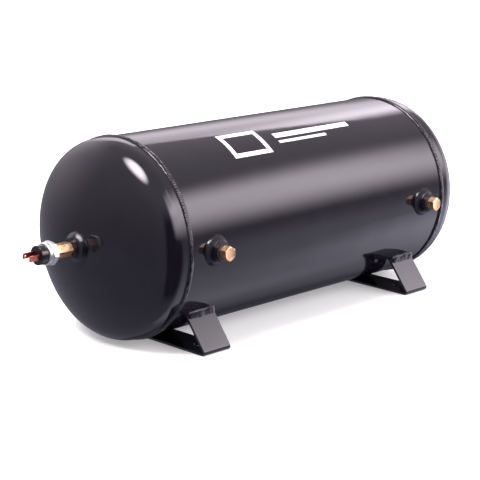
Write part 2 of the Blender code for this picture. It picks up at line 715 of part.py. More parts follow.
def add_cap(frame, material):
    """A moulded cup, open towards the diaphragm, with a slot through its end for each terminal."""
    chamber_end = CAP_END_OUT - CAP_END_WALL
    flange_end = CAP_OUT + CAP_FLANGE
    stations = [
        (chamber_end, 0),
        (chamber_end, CAP_CHAMBER_RADIUS),
        (CAP_OUT, CAP_CHAMBER_RADIUS),
        (CAP_OUT, CAP_FLANGE_RADIUS),
        (flange_end, CAP_FLANGE_RADIUS),
        (flange_end, CAP_RADIUS),
        (CAP_END_OUT - CAP_EDGE, CAP_RADIUS),
        (CAP_END_OUT, CAP_RADIUS - CAP_EDGE),
        (CAP_END_OUT, 0),
    ]
    cap = add_piece("terminal_cap", turned("terminal_cap", stations, BOSS_SIDES), frame, material)
    half_width = TERMINAL_WIDTH / 2 + GAP
    half_thick = TERMINAL_NECK_THICKNESS / 2 + GAP
    for side, side_name in ((-1, "near"), (1, "far")):
        middle = side * TERMINAL_SPACING / 2
        low = (-half_width, middle - half_thick, chamber_end - CUT_MARGIN)
        high = (half_width, middle + half_thick, CAP_END_OUT + CUT_MARGIN)
        slot_name = f"{side_name}_terminal_slot"
        combine(cap, add_cutter(slot_name, box(slot_name, low, high), frame))
    return cap


def add_terminal(name, side, frame, material):
    """A spade blade outside the cap, on a neck whose foot turns in to be the fixed contact."""
    half_width = TERMINAL_WIDTH / 2
    half_thick = TERMINAL_THICKNESS / 2
    tip_half_width = half_width - TERMINAL_TIP_CHAMFER
    blade_start = CAP_END_OUT + GAP
    shoulder = TERMINAL_TIP_OUT - TERMINAL_TIP_CHAMFER
    outline = [
        (-half_width, blade_start),
        (half_width, blade_start),
        (half_width, shoulder),
        (tip_half_width, TERMINAL_TIP_OUT),
        (-tip_half_width, TERMINAL_TIP_OUT),
        (-half_width, shoulder),
    ]
    middle = side * TERMINAL_SPACING / 2
    mesh = prism(name, outline, middle - half_thick, middle + half_thick, lambda x, z, y: (x, y, z))
    terminal = add_piece(name, mesh, frame, material)

    neck_name = f"{name}_neck"
    neck_half_width = TERMINAL_NECK_WIDTH / 2
    neck_half_thick = TERMINAL_NECK_THICKNESS / 2
    low = (-neck_half_width, middle - neck_half_thick, CONTACT_OUT)
    high = (neck_half_width, middle + neck_half_thick, blade_start + TERMINAL_THICKNESS)
    combine(terminal, add_cutter(neck_name, box(neck_name, low, high), frame), "UNION")

    foot_name = f"{name}_foot"
    inner_end, outer_end = sorted((side * CONTACT_INNER, middle))
    low = (-half_width, inner_end, CONTACT_OUT)
    high = (half_width, outer_end, CONTACT_OUT + TERMINAL_THICKNESS)
    combine(terminal, add_cutter(foot_name, box(foot_name, low, high), frame), "UNION")

    hole_name = f"{name}_hole"
    reach = half_thick + CUT_MARGIN
    hole_mesh = cylinder(hole_name, TERMINAL_HOLE_RADIUS, -reach, reach, TERMINAL_HOLE_SIDES)
    hole = add_cutter(hole_name, hole_mesh, frame)
    hole.location = (0, middle, TERMINAL_TIP_OUT - TERMINAL_HOLE_FROM_TIP)
    hole.rotation_euler.x = math.pi / 2
    combine(terminal, hole)
    return terminal


def main():
    clear_scene()
    black = make_material("black_enamel", (0.022, 0.021, 0.025), 0.12, 0.0)
    brass = make_material("brass", (0.80, 0.56, 0.26), 0.28, 1.0)
    zinc = make_material("zinc_plate", (0.74, 0.76, 0.78), 0.32, 1.0)
    copper = make_material("terminal_copper", (0.78, 0.22, 0.16), 0.35, 1.0)
    plastic = make_material("black_plastic", (0.018, 0.018, 0.020), 0.4, 0.0)
    rubber = make_material("black_rubber", (0.015, 0.015, 0.015), 0.7, 0.0)
    steel = make_material("bright_steel", (0.62, 0.62, 0.63), 0.35, 1.0)

    quarter = math.pi / 2
    tank = add_frame("tank_middle", location=(TANK_X, TANK_Y, AXIS_HEIGHT))
    left_end = add_frame("left_end", tank, rotation=(0, -quarter, 0))
    right_end = add_frame("right_end", tank, rotation=(0, quarter, 0))
    switch = add_frame("switch_axis", left_end, rotation=(0, 0, SWITCH_CLOCKING))
    drain = add_frame("drain_axis", tank, rotation=(math.pi, 0, 0))

    shell = add_shell(tank, black)
    add_seam_weld(tank, black)
    clearance = cylinder(
        "shell_clearance", SHELL_RADIUS + GAP, -GIRTH_WELD_OUT, GIRTH_WELD_OUT, SHELL_SIDES
    )
    shell_cutter = add_cutter("shell_clearance", clearance, left_end)
    add_head("left_head", left_end, black, BOSS_SPIGOT_RADIUS + GAP)
    add_head("right_head", right_end, black)
    add_girth_weld("left_girth_weld", left_end, black)
    add_girth_weld("right_girth_weld", right_end, black)

    for side, side_name in ((-1, "left"), (1, "right")):
        foot_frame = add_frame(f"{side_name}_foot_middle", tank, (side * FOOT_OUT, 0, 0))
        add_foot(f"{side_name}_foot", foot_frame, black)
        add_foot_welds(f"{side_name}_foot", foot_frame, black)

        port = add_frame(f"{side_name}_port_axis", tank, (side * PORT_OUT, 0, 0), (quarter, 0, 0))
        add_boss(f"{side_name}_port_boss", port, SHELL_RADIUS, black)
        add_shell_boss_weld(f"{side_name}_port_weld", port, shell_cutter, black)
        add_washer(f"{side_name}_plug_washer", port, rubber)
        add_plug(f"{side_name}_port_plug", port, brass)
        combine(shell, add_hole(f"{side_name}_port_hole", port, BOSS_SPIGOT_RADIUS + GAP))

    add_drain(drain, shell_cutter, steel, black)
    combine(shell, add_hole("drain_hole", drain, DRAIN_BOSS_RADIUS + GAP))

    add_boss("switch_port_boss", left_end, HEAD_APEX_OUT, black)
    add_head_boss_weld("switch_port_weld", left_end, black)
    add_adapter(left_end, brass)
    add_switch_body(switch, zinc)
    add_oring(switch, rubber)
    add_diaphragm(switch, steel)
    add_plunger_guide(switch, plastic)
    add_plunger(switch, plastic)
    add_contact_bridge(switch, copper)
    add_spring(switch, steel)
    add_cap(switch, plastic)
    add_terminal("near_terminal", -1, switch, copper)
    add_terminal("far_terminal", 1, switch, copper)


main()
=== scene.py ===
"""Air receiver tank: finished meshes, materials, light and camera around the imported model.

Metres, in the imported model's frame. Round pieces are turned about an axis frame, a matrix whose +Z runs
outwards from the middle of the tank along a port or an end. "out" is measured along it from the middle.
"""

import math

import bmesh
import bpy
from mathutils import Matrix, Vector, noise


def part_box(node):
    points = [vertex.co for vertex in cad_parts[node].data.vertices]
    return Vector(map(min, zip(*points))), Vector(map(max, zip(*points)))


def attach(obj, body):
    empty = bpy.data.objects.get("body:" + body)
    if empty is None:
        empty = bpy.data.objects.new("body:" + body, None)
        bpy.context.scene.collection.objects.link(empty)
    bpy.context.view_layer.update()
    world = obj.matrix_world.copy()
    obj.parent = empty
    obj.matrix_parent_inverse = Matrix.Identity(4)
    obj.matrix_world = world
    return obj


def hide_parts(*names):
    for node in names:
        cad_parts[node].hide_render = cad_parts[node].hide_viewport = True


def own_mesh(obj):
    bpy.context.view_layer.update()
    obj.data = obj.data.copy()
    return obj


MM = 0.001

CLEARANCE = 0.3 * MM  # between neighbouring pieces

# Vessel
KNUCKLE_RADIUS = 27.5 * MM
CROWN_RADIUS = 185.0 * MM
WALL = 2.5 * MM
DISH_EASE = 12.0 * MM  # half of the length over which the knuckle eases into the crown
DISH_STEP = 0.5 * MM
DISH_KEEP = 4  # of the steps along a head's profile, one in this many becomes a station
CUT_MARGIN = 6.0 * MM  # how far a cutter reaches past each side of the wall

# Weld beads
GIRTH_BEAD_HALF_WIDTH = 3.5 * MM
GIRTH_BEAD_HEIGHT = 2.0 * MM
GIRTH_BEAD_STEPS = 12
GIRTH_DRIFT = 0.35 * MM  # how far the bead wanders off its line
GIRTH_DRIFT_WAVES = 5
GIRTH_SWELL = 0.10  # share of its width and height
GIRTH_SWELL_WAVES = 9
GIRTH_LUMPS = 0.50 * MM
GIRTH_LUMP_LENGTH = 5.0 * MM
SEAM_ANGLE = math.radians(-24)  # from +Y, positive towards +Z
SEAM_BEAD_HALF_WIDTH = 3.0 * MM
SEAM_BEAD_HEIGHT = 1.3 * MM
SEAM_BEAD_STEPS = 8
SEAM_DRIFT = 0.3 * MM
SEAM_DRIFT_LENGTH = 30.0 * MM
SEAM_ROW_PITCH = 0.45 * MM
BEAD_FULLNESS = 2.4  # exponent of a bead's section, where 2 is an ellipse
EDGE_SINK = 0.1 * MM  # how far the edge of a weld lies under the surface that it joins
ROOT_SINK = 0.4 * MM  # how far the root of a bead lies under it
WELD_STANDOFF = 0.1 * MM  # between a boss and the weld round it
RIPPLE_PITCH = 2.6 * MM
RIPPLE_HEIGHT = 0.30 * MM
RIPPLE_CURVE = 0.35  # how far the ripples bow across the bead, in pitches
RIPPLE_REACH = 1.6  # where the edge of a bead lies on that bow
RIPPLE_DRIFT = 0.5  # in pitches
RIPPLE_DRIFT_LENGTH = 9.0 * MM

# Feet
FOOT_PLATE = 3.0 * MM
FOOT_HALF_DEPTH = 114.0 * MM  # to the corner where the base and the slope would meet
FOOT_SLOPE = math.radians(52.5)
FOOT_BEND_RADIUS = 3.6 * MM
FOOT_BEND_STEPS = 14
FOOT_EDGE = 0.45 * MM
FOOT_BOLT_Y = 80.0 * MM
FOOT_BOLT_HOLE_RADIUS = 4.5 * MM
FOOT_WELD_LEG = 5.0 * MM
FOOT_WELD_LEG_CHANGE = 0.16  # share of the leg
FOOT_WELD_LEG_WAVES = ((8.0 * MM, 9.0), (6.0 * MM, 2.0))  # (length, seed) of the upper and the lower leg
FOOT_WELD_CROWN = 0.9 * MM
FOOT_WELD_LUMPS = ((0.3, 7.0 * MM, 1.0), (0.12, 2.6 * MM, 5.0))  # (share of the crown, length, seed)
FOOT_WELD_OVERHANG = 0.6 * MM  # past each end of the foot
FOOT_WELD_END_POWER = 14  # the higher it is, the shorter the stretch that tapers at the ends
FOOT_WELD_END_LEAST = 0.02
FOOT_WELD_ROWS = 110
FOOT_WELD_STEPS = 8

# Ports
BOSS_RADIUS = 11.4 * MM
BOSS_LIP_RADIUS = 10.2 * MM
BOSS_LIP_HEIGHT = 1.2 * MM
BOSS_SPIGOT_RADIUS = 10.0 * MM
BOSS_SPIGOT_DEPTH = 5.0 * MM
BOSS_EDGE = 0.3 * MM
BORE_RADIUS = 6.8 * MM
BOSS_WELD_RADIUS = 17.2 * MM
BOSS_WELD_HEIGHT = 6.4 * MM
BOSS_WELD_BELLY = 0.6 * MM
BOSS_WELD_RIPPLES = 0.6  # share of a bead's ripples
BOSS_WELD_DRIFT = 0.35 * MM
BOSS_WELD_DRIFT_WAVES = 1.7
BOSS_WELD_STEPS = 9
BOSS_WELD_TOE_SINK = 0.15 * MM
BOSS_WELD_ROOT_DEPTH = 4.0 * MM
BOSS_WELD_ROOT_INSET = 1.5 * MM
THREAD_RADIUS = 6.5 * MM
THREAD_PITCH = 1.411 * MM
THREAD_DEPTH = 0.8 * MM
THREAD_STEPS = 8  # to a pitch
THREAD_LEAD = 0.5 * MM  # plain length before the thread starts
THREAD_RELIEF = 0.2 * MM  # how far the neck under a head lies below the crests
PLUG_FLATS = 14.3 * MM
PLUG_HEAD = 9.0 * MM
PLUG_NECK = 0.4 * MM
PLUG_FACE_SINK = 0.12 * MM
PLUG_FACE_SHARE = 0.9  # of the flats
PLUG_EDGE = 0.22 * MM
WASHER_RADIUS = 9.4 * MM
WASHER_EDGE = 0.3 * MM
HEX_CHAMFER_SLOPE = math.tan(math.radians(30))
HEX_CHAMFER_CIRCLE = 0.97  # of the flats, where the cone that trims the corners ends

# Drain
DRAIN_BOSS_RADIUS = 13.0 * MM
DRAIN_BOSS_DEPTH = 14.0 * MM
DRAIN_WELD_RADIUS = 17.0 * MM
DRAIN_WELD_TOP_RADIUS = 15.8 * MM
DRAIN_WELD_DEPTH = 3.0 * MM
DRAIN_WELD_EDGE = 0.7 * MM
DRAIN_PLUG_LENGTH = 9.5 * MM
DRAIN_PLUG_EDGE = 0.2 * MM
DRAIN_SOCKET_FLATS = 6.35 * MM
DRAIN_SOCKET_MOUTH = 0.6  # radius of the socket's chamfer, as a share of its flats
DRAIN_SOCKET_CHAMFER = 0.4 * MM
DRAIN_SOCKET_DEPTH = 5.0 * MM

# Pressure switch
SWITCH_CLOCKING = math.radians(-8)
SWITCH_FLATS = 23.0 * MM
SWITCH_HEX = 7.0 * MM
SWITCH_EDGE = 0.25 * MM
STEM_LENGTH = 9.0 * MM
STEM_RADIUS = 4.9 * MM
STEM_BORE_RADIUS = 1.5 * MM
ADAPTER_BORE_RADIUS = 3.0 * MM
ADAPTER_SOCKET_RADIUS = 5.3 * MM
ADAPTER_SOCKET_DEPTH = 9.7 * MM
ADAPTER_NECK = 0.3 * MM
COLLAR_GROOVE = 0.5 * MM
COLLAR_GROOVE_RADIUS = 10.9 * MM
COLLAR_RADIUS = 12.3 * MM
COLLAR_FOOT_ROUND = 0.6 * MM
COLLAR_ROUND = 1.5 * MM
COLLAR_ROUND_END = -0.2  # radians, where the rolled rim stops turning in
CRIMP_LIP_RADIUS = 10.5 * MM
POCKET_RADIUS = 11.4 * MM  # the room for the cap's flange
POCKET_TOP = 1.0 * MM  # below the rim
POCKET_FLOOR = 3.6 * MM  # below the rim
CAVITY_RADIUS = 9.4 * MM
CAVITY_FLOOR = 2.6 * MM  # above the start of the hexagon
CAP_RADIUS = 10.4 * MM
CAP_FLANGE_RADIUS = 11.1 * MM
CAP_FLANGE = 2.2 * MM
CAP_CHAMBER_RADIUS = 8.6 * MM
CAP_END_WALL = 3.0 * MM
CAP_END_ROUND = 0.8 * MM
CAP_EDGE = 0.15 * MM
THIN_CUT_REACH = 2.0 * MM  # of a cutter through the cap's end or a blade
TERMINAL_SPACING = 11.0 * MM
TERMINAL_THICKNESS = 0.8 * MM
TERMINAL_WIDTH = 6.3 * MM
TERMINAL_TIP_CHAMFER = 1.0 * MM
TERMINAL_HOLE_RADIUS = 0.9 * MM
TERMINAL_HOLE_FROM_TIP = 3.4 * MM
TERMINAL_NECK_WIDTH = 5.7 * MM
TERMINAL_NECK_THICKNESS = 0.6 * MM
TERMINAL_CONTACT_INNER = 2.6 * MM  # from the switch's axis to the inner end of a contact
TERMINAL_EDGE = 0.14 * MM
SPRING_WIRE_RADIUS = 0.25 * MM
SPRING_WIRE_SIDES = 12
SPRING_TURNS = 4
SPRING_STEPS = 32  # to a turn

# Printed mark
INK_RISE = 0.12 * MM
INK_ROOT = 0.08 * MM  # how far it reaches into the shell

# How finely shapes are divided, and the angles from which an edge is sharp
SHELL_SIDES = 360
GIRTH_SIDES = 5 * SHELL_SIDES
BOSS_SIDES = 120
BOSS_WELD_SIDES = 2 * BOSS_SIDES
CUTTER_SIDES = 48
SHARP = math.radians(32)
BEAD_SHARP = math.radians(70)
FILLET_SHARP = math.radians(60)
TURNED_SHARP = math.radians(24)

# The middle of a noise's range, which a material spreads over its colours and its roughness
NOISE_LOW = 0.3
NOISE_HIGH = 0.7

# The photograph's view
CAMERA_AZIMUTH = math.radians(-46.142)
CAMERA_ELEVATION = math.radians(13.845)
CAMERA_ROLL = math.radians(0.850)
CAMERA_DISTANCE = 1.7856
CAMERA_TARGET = Vector((0.00678, 0.00925, 0.08044))
CAMERA_LENS = 113.76  # mm, as is the width of the sensor
CAMERA_SENSOR = 36.0
CAMERA_CLIP_END = 20.0

# Floor and studio
FLOOR_RADIUS = 6.0
FLOOR_SIDES = 96
FLOOR_COLOUR = (0.80, 0.84, 0.79, 1)
FLOOR_ROUGHNESS = 0.9
FLOOR_GLOW = 0.30
FLOOR_DROP = 0.3 * MM  # below the feet
DOME_ELEVATIONS = (math.radians(-8), math.radians(50))  # the studio brightens between these
DOME_LEVELS = (0.34, 0.80)
DARKEST = 0.01
UPPER_TINT = (1.05, 0.95, 1.05, 1)
LOWER_TINT = (0.98, 0.95, 1.16, 1)
TINT_ELEVATIONS = (math.radians(-25), math.radians(12))  # from the lower tint to the upper one

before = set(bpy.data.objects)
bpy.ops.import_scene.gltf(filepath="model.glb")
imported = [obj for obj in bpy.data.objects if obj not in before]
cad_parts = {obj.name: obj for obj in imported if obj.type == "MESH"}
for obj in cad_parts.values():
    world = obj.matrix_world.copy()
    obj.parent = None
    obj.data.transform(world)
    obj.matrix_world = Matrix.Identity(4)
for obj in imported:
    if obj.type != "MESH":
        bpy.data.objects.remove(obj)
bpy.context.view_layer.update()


def box_middle(node):
    low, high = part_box(node)
    return (low + high) / 2


MIDDLE = box_middle("shell")
SHELL_RADIUS = (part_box("shell")[1].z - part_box("shell")[0].z) / 2
GIRTH_OUT = box_middle("right_girth_weld").x - MIDDLE.x
HEAD_APEX_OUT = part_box("right_head")[1].x - MIDDLE.x
AXIS_HEIGHT = MIDDLE.z
FOOT_HALF_WIDTH = (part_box("left_foot")[1].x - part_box("left_foot")[0].x) / 2

QUARTER = math.pi / 2
LEFT_END = Matrix.Translation(MIDDLE) @ Matrix.Rotation(-QUARTER, 4, "Y")
RIGHT_END = Matrix.Translation(MIDDLE) @ Matrix.Rotation(QUARTER, 4, "Y")
SWITCH_AXIS = LEFT_END @ Matrix.Rotation(SWITCH_CLOCKING, 4, "Z")
DRAIN_AXIS = Matrix.Translation(MIDDLE) @ Matrix.Rotation(math.pi, 4, "X")


def on_tank_axis(node):
    """The point of the tank's axis that a CAD node is level with."""
    return Matrix.Translation((box_middle(node).x, MIDDLE.y, MIDDLE.z))


def port_axis(node):
    """The axis frame of the front port that a CAD node sits on."""
    return on_tank_axis(node) @ Matrix.Rotation(QUARTER, 4, "X")


def y_out(node):
    """How far out a CAD node on a front port starts and ends."""
    low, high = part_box(node)
    return MIDDLE.y - high.y, MIDDLE.y - low.y


def x_out(node):
    """How far out a CAD node on the left end starts and ends."""
    low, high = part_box(node)
    return MIDDLE.x - high.x, MIDDLE.x - low.x


def axis_reach(node, at):
    """How far out along an axis frame a CAD node reaches."""
    back = at.inverted()
    low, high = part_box(node)
    return max((back @ low).z, (back @ high).z)


# Materials


def shader_node(tree, kind, **settings):
    """A new shader node. kind is its type's name without ShaderNode."""
    node = tree.nodes.new("ShaderNode" + kind)
    for name, value in settings.items():
        setattr(node, name, value)
    return node


def noise_height(tree, scale, detail=2.0, stretch=(1, 1, 1)):
    """A noise over the object's own coordinates, in metres. stretch slows it along an axis."""
    place = shader_node(tree, "TexCoord")
    mapping = shader_node(tree, "Mapping")
    mapping.inputs["Scale"].default_value = stretch
    texture = shader_node(tree, "TexNoise")
    texture.inputs["Scale"].default_value = scale
    texture.inputs["Detail"].default_value = detail
    tree.links.new(place.outputs["Object"], mapping.inputs["Vector"])
    tree.links.new(mapping.outputs["Vector"], texture.inputs["Vector"])
    return texture.outputs["Fac"]


def spread(tree, value, low, high):
    """Maps the middle of a noise's range to low..high."""
    node = shader_node(tree, "MapRange")
    node.inputs["From Min"].default_value = NOISE_LOW
    node.inputs["From Max"].default_value = NOISE_HIGH
    node.inputs["To Min"].default_value = low
    node.inputs["To Max"].default_value = high
    tree.links.new(value, node.inputs["Value"])
    return node.outputs["Result"]


def tint(tree, value, first, second):
    """A colour that drifts from first to second with a noise."""
    ramp = shader_node(tree, "ValToRGB")
    ramp.color_ramp.elements[0].position = NOISE_LOW
    ramp.color_ramp.elements[0].color = (*first, 1)
    ramp.color_ramp.elements[1].position = NOISE_HIGH
    ramp.color_ramp.elements[1].color = (*second, 1)
    tree.links.new(value, ramp.inputs["Fac"])
    return ramp.outputs["Color"]


def finish(name, colours, roughness, bumps, metallic=0.0, colour_scale=30.0, rough_scale=45.0, ior=1.5):
    """A surface whose colour and roughness drift, with one bump for each (scale, depth, detail, stretch)."""
    material = bpy.data.materials.new(name)
    material.use_nodes = True
    tree = material.node_tree
    shader = tree.nodes["Principled BSDF"]
    shader.inputs["Metallic"].default_value = metallic
    shader.inputs["IOR"].default_value = ior
    colour = tint(tree, noise_height(tree, colour_scale), *colours)
    tree.links.new(colour, shader.inputs["Base Color"])
    rough = spread(tree, noise_height(tree, rough_scale, 3.0), *roughness)
    tree.links.new(rough, shader.inputs["Roughness"])
    normal = None
    for scale, depth, detail, stretch in bumps:
        bump = shader_node(tree, "Bump")
        bump.inputs["Distance"].default_value = depth
        tree.links.new(noise_height(tree, scale, detail, stretch), bump.inputs["Height"])
        if normal:
            tree.links.new(normal, bump.inputs["Normal"])
        normal = bump.outputs["Normal"]
    tree.links.new(normal, shader.inputs["Normal"])
    return material


EVEN = (1, 1, 1)


def enamel_finish():
    """High gloss black enamel: orange peel about 4 mm across over slow waves in the plate."""
    colours = ((0.0030, 0.0026, 0.0047), (0.0048, 0.0041, 0.0070))
    bumps = [(18.0, 0.00022, 1.0, EVEN), (240.0, 0.000009, 2.0, EVEN)]
    return finish("black_enamel", colours, (0.045, 0.10), bumps)


def brass_finish():
    """Machined brass, slightly tarnished, with fine turning marks."""
    colours = ((0.97, 0.54, 0.27), (1.00, 0.74, 0.48))
    bumps = [(2600.0, 0.000010, 2.0, (1, 1, 0.12)), (300.0, 0.000030, 2.0, EVEN)]
    return finish("brass", colours, (0.24, 0.40), bumps, metallic=1.0, colour_scale=160.0, rough_scale=220.0)


def zinc_finish():
    """Bright zinc plate, a little cloudy."""
    colours = ((0.74, 0.79, 0.80), (0.88, 0.91, 0.91))
    bumps = [(1400.0, 0.000008, 3.0, EVEN)]
    return finish(
        "zinc_plate", colours, (0.30, 0.46), bumps, metallic=1.0, colour_scale=190.0, rough_scale=260.0
    )


def copper_finish():
    """Rolled copper strip with its rolling lines along the blades."""
    colours = ((0.86, 0.16, 0.11), (0.96, 0.34, 0.26))
    bumps = [(2200.0, 0.000008, 2.0, (0.1, 1, 1))]
    return finish("terminal_copper", colours, (0.26, 0.40), bumps, metallic=1.0, colour_scale=240.0)


def plastic_finish():
    """Glossy moulded black plastic."""
    colours = ((0.0025, 0.0025, 0.0030), (0.0050, 0.0050, 0.0055))
    bumps = [(900.0, 0.000010, 2.0, EVEN)]
    return finish("black_plastic", colours, (0.07, 0.14), bumps)


def rubber_finish():
    """Moulded black rubber, matte."""
    colours = ((0.012, 0.012, 0.012), (0.022, 0.022, 0.022))
    bumps = [(2500.0, 0.000040, 4.0, EVEN)]
    return finish("black_rubber", colours, (0.50, 0.70), bumps)


def steel_finish():
    """Plain bright steel."""
    colours = ((0.50, 0.50, 0.51), (0.62, 0.62, 0.63))
    bumps = [(1800.0, 0.000015, 3.0, EVEN)]
    return finish("bright_steel", colours, (0.22, 0.38), bumps, metallic=1.0, colour_scale=200.0)


def ink_finish():
    """White screen-printed ink with a fine tooth."""
    colours = ((0.78, 0.78, 0.79), (0.86, 0.86, 0.86))
    bumps = [(900.0, 0.000012, 2.0, EVEN)]
    return finish("white_ink", colours, (0.24, 0.36), bumps)


FINISHES = {
    "black_enamel": enamel_finish(),
    "brass": brass_finish(),
    "zinc_plate": zinc_finish(),
    "terminal_copper": copper_finish(),
    "black_plastic": plastic_finish(),
    "black_rubber": rubber_finish(),
    "bright_steel": steel_finish(),
}


def dress_cad_nodes():
    """Gives every CAD node the finish of its own slot."""
    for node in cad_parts.values():
        for slot in node.material_slots:
            slot.material = FINISHES[slot.material.name.split(".")[0]]


# Mesh making


def place_object(name, data):
    """Puts a mesh or a camera into the scene."""
    placed = bpy.data.objects.new(name, data)
    bpy.context.scene.collection.objects.link(placed)
    return placed


def add_object(name, shape, material, at=None, sharp=SHARP):
    """Turns a bmesh into an object that is smooth but for its sharp edges."""
    bmesh.ops.recalc_face_normals(shape, faces=shape.faces)
    mesh = bpy.data.meshes.new(name)
    shape.to_mesh(mesh)
    shape.free()
    if at:
        mesh.transform(at)
    mesh.materials.append(material)
    mesh.shade_smooth()
    mesh.set_sharp_from_angle(angle=sharp)
    return place_object(name, mesh)


def combine(piece, others, operation="DIFFERENCE"):
    """Takes the others out of the piece's mesh, or joins them to it, and deletes them."""
    for other in others:
        modifier = piece.modifiers.new("combine", "BOOLEAN")
        modifier.operation = operation
        modifier.object = other
    graph = bpy.context.evaluated_depsgraph_get()
    mesh = bpy.data.meshes.new_from_object(piece.evaluated_get(graph))
    piece.modifiers.clear()
    piece.data = mesh
    mesh.set_sharp_from_angle(angle=SHARP)
    for other in others:
        bpy.data.objects.remove(other)


def round_edges(piece, width, segments=2):
    """Rounds the sharp edges, so that each one catches a line of light."""
    modifier = piece.modifiers.new("round_edges", "BEVEL")
    modifier.width = width
    modifier.segments = segments
    modifier.limit_method = "ANGLE"
    modifier.angle_limit = SHARP
    modifier.harden_normals = True


def fit(piece, slot, body, *nodes):
    """Hangs a finished piece on its body, in place of the CAD nodes that it stands for."""
    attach(piece, body)
    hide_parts(*nodes)


def add_piece(node, shape, slot, at, edge=0, segments=3, sharp=SHARP, body="tank"):
    """A finished piece in place of the CAD node of the same name, with its edges rounded."""
    piece = add_object(node, shape, FINISHES[slot], at, sharp)
    if edge:
        round_edges(piece, edge, segments)
    fit(piece, slot, body, node)
    return piece


def turned(stations, sides=BOSS_SIDES, hollow=False):
    """Turns stations about +Z. Each is (out, radius), or a function of the angle that gives them."""
    shape = bmesh.new()
    rings = []
    for station in stations:
        at_angle = station if callable(station) else lambda angle, fixed=station: fixed
        if at_angle(0)[1] == 0:
            rings.append([shape.verts.new((0, 0, at_angle(0)[0]))])
            continue
        ring = []
        for side in range(sides):
            angle = math.tau * side / sides
            out, radius = at_angle(angle)
            ring.append(shape.verts.new((radius * math.cos(angle), radius * math.sin(angle), out)))
        rings.append(ring)
    if hollow:
        rings.append(rings[0])
    for low, high in zip(rings, rings[1:]):
        for side in range(sides):
            after = (side + 1) % sides
            if len(low) == 1:
                shape.faces.new((low[0], high[side], high[after]))
            elif len(high) == 1:
                shape.faces.new((low[side], high[0], low[after]))
            else:
                shape.faces.new((low[side], high[side], high[after], low[after]))
    return shape


def hex_reach(flats, angle):
    """Distance from the axis to a hexagon's side."""
    from_flat = (angle + math.pi / 6) % (math.pi / 3) - math.pi / 6
    return flats / 2 / math.cos(from_flat)


def hexagon(out, flats, chamfer=0):
    """A station round a hexagon. chamfer is 1 or -1 where a cone trims its corners at this end."""
    circle = HEX_CHAMFER_CIRCLE * flats / 2

    def station(angle):
        reach = hex_reach(flats, angle)
        return out - chamfer * HEX_CHAMFER_SLOPE * (reach - circle), reach

    return station


def hex_head(start, end, flats):
    """Stations of a hexagon with both ends trimmed by a cone, from start to end."""
    circle = HEX_CHAMFER_CIRCLE * flats / 2
    return [(start, circle), hexagon(start, flats, -1), hexagon(end, flats, 1), (end, circle)]


def arc(radius, start, end, steps):
    """Offsets (along, across) of an arc, from its start angle to its end angle."""
    angles = (start + (end - start) * step / steps for step in range(steps + 1))
    return [(radius * math.cos(angle), radius * math.sin(angle)) for angle in angles]


def thread(start, end, radius):
    """Stations of a right-hand thread, fading in and out over half a turn."""
    steps = round(THREAD_STEPS * (end - start) / THREAD_PITCH)
    stations = []
    for step in range(steps + 1):
        out = start + (end - start) * step / steps

        def station(angle, out=out):
            turn = (out / THREAD_PITCH - angle / math.tau) % 1
            fade = min(1, (out - start) / THREAD_PITCH * 2, (end - out) / THREAD_PITCH * 2)
            return out, radius - THREAD_DEPTH * fade * abs(2 * turn - 1)

        stations.append(station)
    return stations


def swept(rows):
    """Skins a list of sections, each a list of points, and closes both ends."""
    shape = bmesh.new()
    rings = [[shape.verts.new(point) for point in row] for row in rows]
    count = len(rings[0])
    for low, high in zip(rings, rings[1:]):
        for here in range(count):
            after = (here + 1) % count
            shape.faces.new((low[here], high[here], high[after], low[after]))
    for end in (rings[0], rings[-1]):
        shape.faces.new(end)
    return shape


def prism(outline, start, end, point_at):
    """Extrudes an outline from start to end. point_at(a, b, depth) places a corner."""
    return swept([[point_at(a, b, depth) for a, b in outline] for depth in (start, end)])


def block(low, high):
    """A box between two corners."""
    outline = [(low.x, low.y), (high.x, low.y), (high.x, high.y), (low.x, high.y)]
    return prism(outline, low.z, high.z, lambda x, y, out: (x, y, out))


def wander(*place):
    """A smooth noise from -1 to 1 at a place, in units of its own wavelength."""
    return noise.noise(Vector(place))


def ripple(distance, across):
    """Height of a weld's ripples, 0 or less: grooves shaped like crescents, one for each pitch along it."""
    seed = 3.1
    phase = distance / RIPPLE_PITCH + RIPPLE_CURVE * across**2
    phase += RIPPLE_DRIFT * wander(distance / RIPPLE_DRIFT_LENGTH, across, seed)
    return -RIPPLE_HEIGHT * (1 - abs(math.sin(math.pi * phase)))


# Vessel


def dish_profile(inset):
    """Stations of a dished head's surface, inset from its outside: a knuckle that eases into the crown."""
    turn = math.asin((SHELL_RADIUS - KNUCKLE_RADIUS) / (CROWN_RADIUS - KNUCKLE_RADIUS))
    flange_out = HEAD_APEX_OUT - CROWN_RADIUS + (CROWN_RADIUS - KNUCKLE_RADIUS) * math.cos(turn)
    knuckle_end = KNUCKLE_RADIUS * (QUARTER - turn)
    points = [(0.0, 0.0, 0.0)]
    along, across, heading = points[0]
    while heading < QUARTER:
        travelled = len(points) * DISH_STEP
        share = (travelled - knuckle_end) / (2 * DISH_EASE) + 0.5
        share = min(max(share, 0.0), 1.0)
        share = share * share * (3 - 2 * share)
        bend = (1 - share) / KNUCKLE_RADIUS + share / CROWN_RADIUS
        heading = min(heading + bend * DISH_STEP, QUARTER)
        along += math.cos(heading) * DISH_STEP
        across += math.sin(heading) * DISH_STEP
        points.append((along, across, heading))
    depth_scale = (HEAD_APEX_OUT - flange_out) / along
    width_scale = SHELL_RADIUS / across
    stations = []
    for along, across, heading in points[:-1:DISH_KEEP]:
        out = flange_out + along * depth_scale - inset * math.sin(heading)
        stations.append((out, SHELL_RADIUS - across * width_scale - inset * math.cos(heading)))
    stations.append((HEAD_APEX_OUT - inset, 0))
    return stations


def vessel_surface(inset):
    """One closed surface, from the left end's middle to the right end's."""
    dish = dish_profile(inset)
    return [(-out, radius) for out, radius in reversed(dish)] + dish


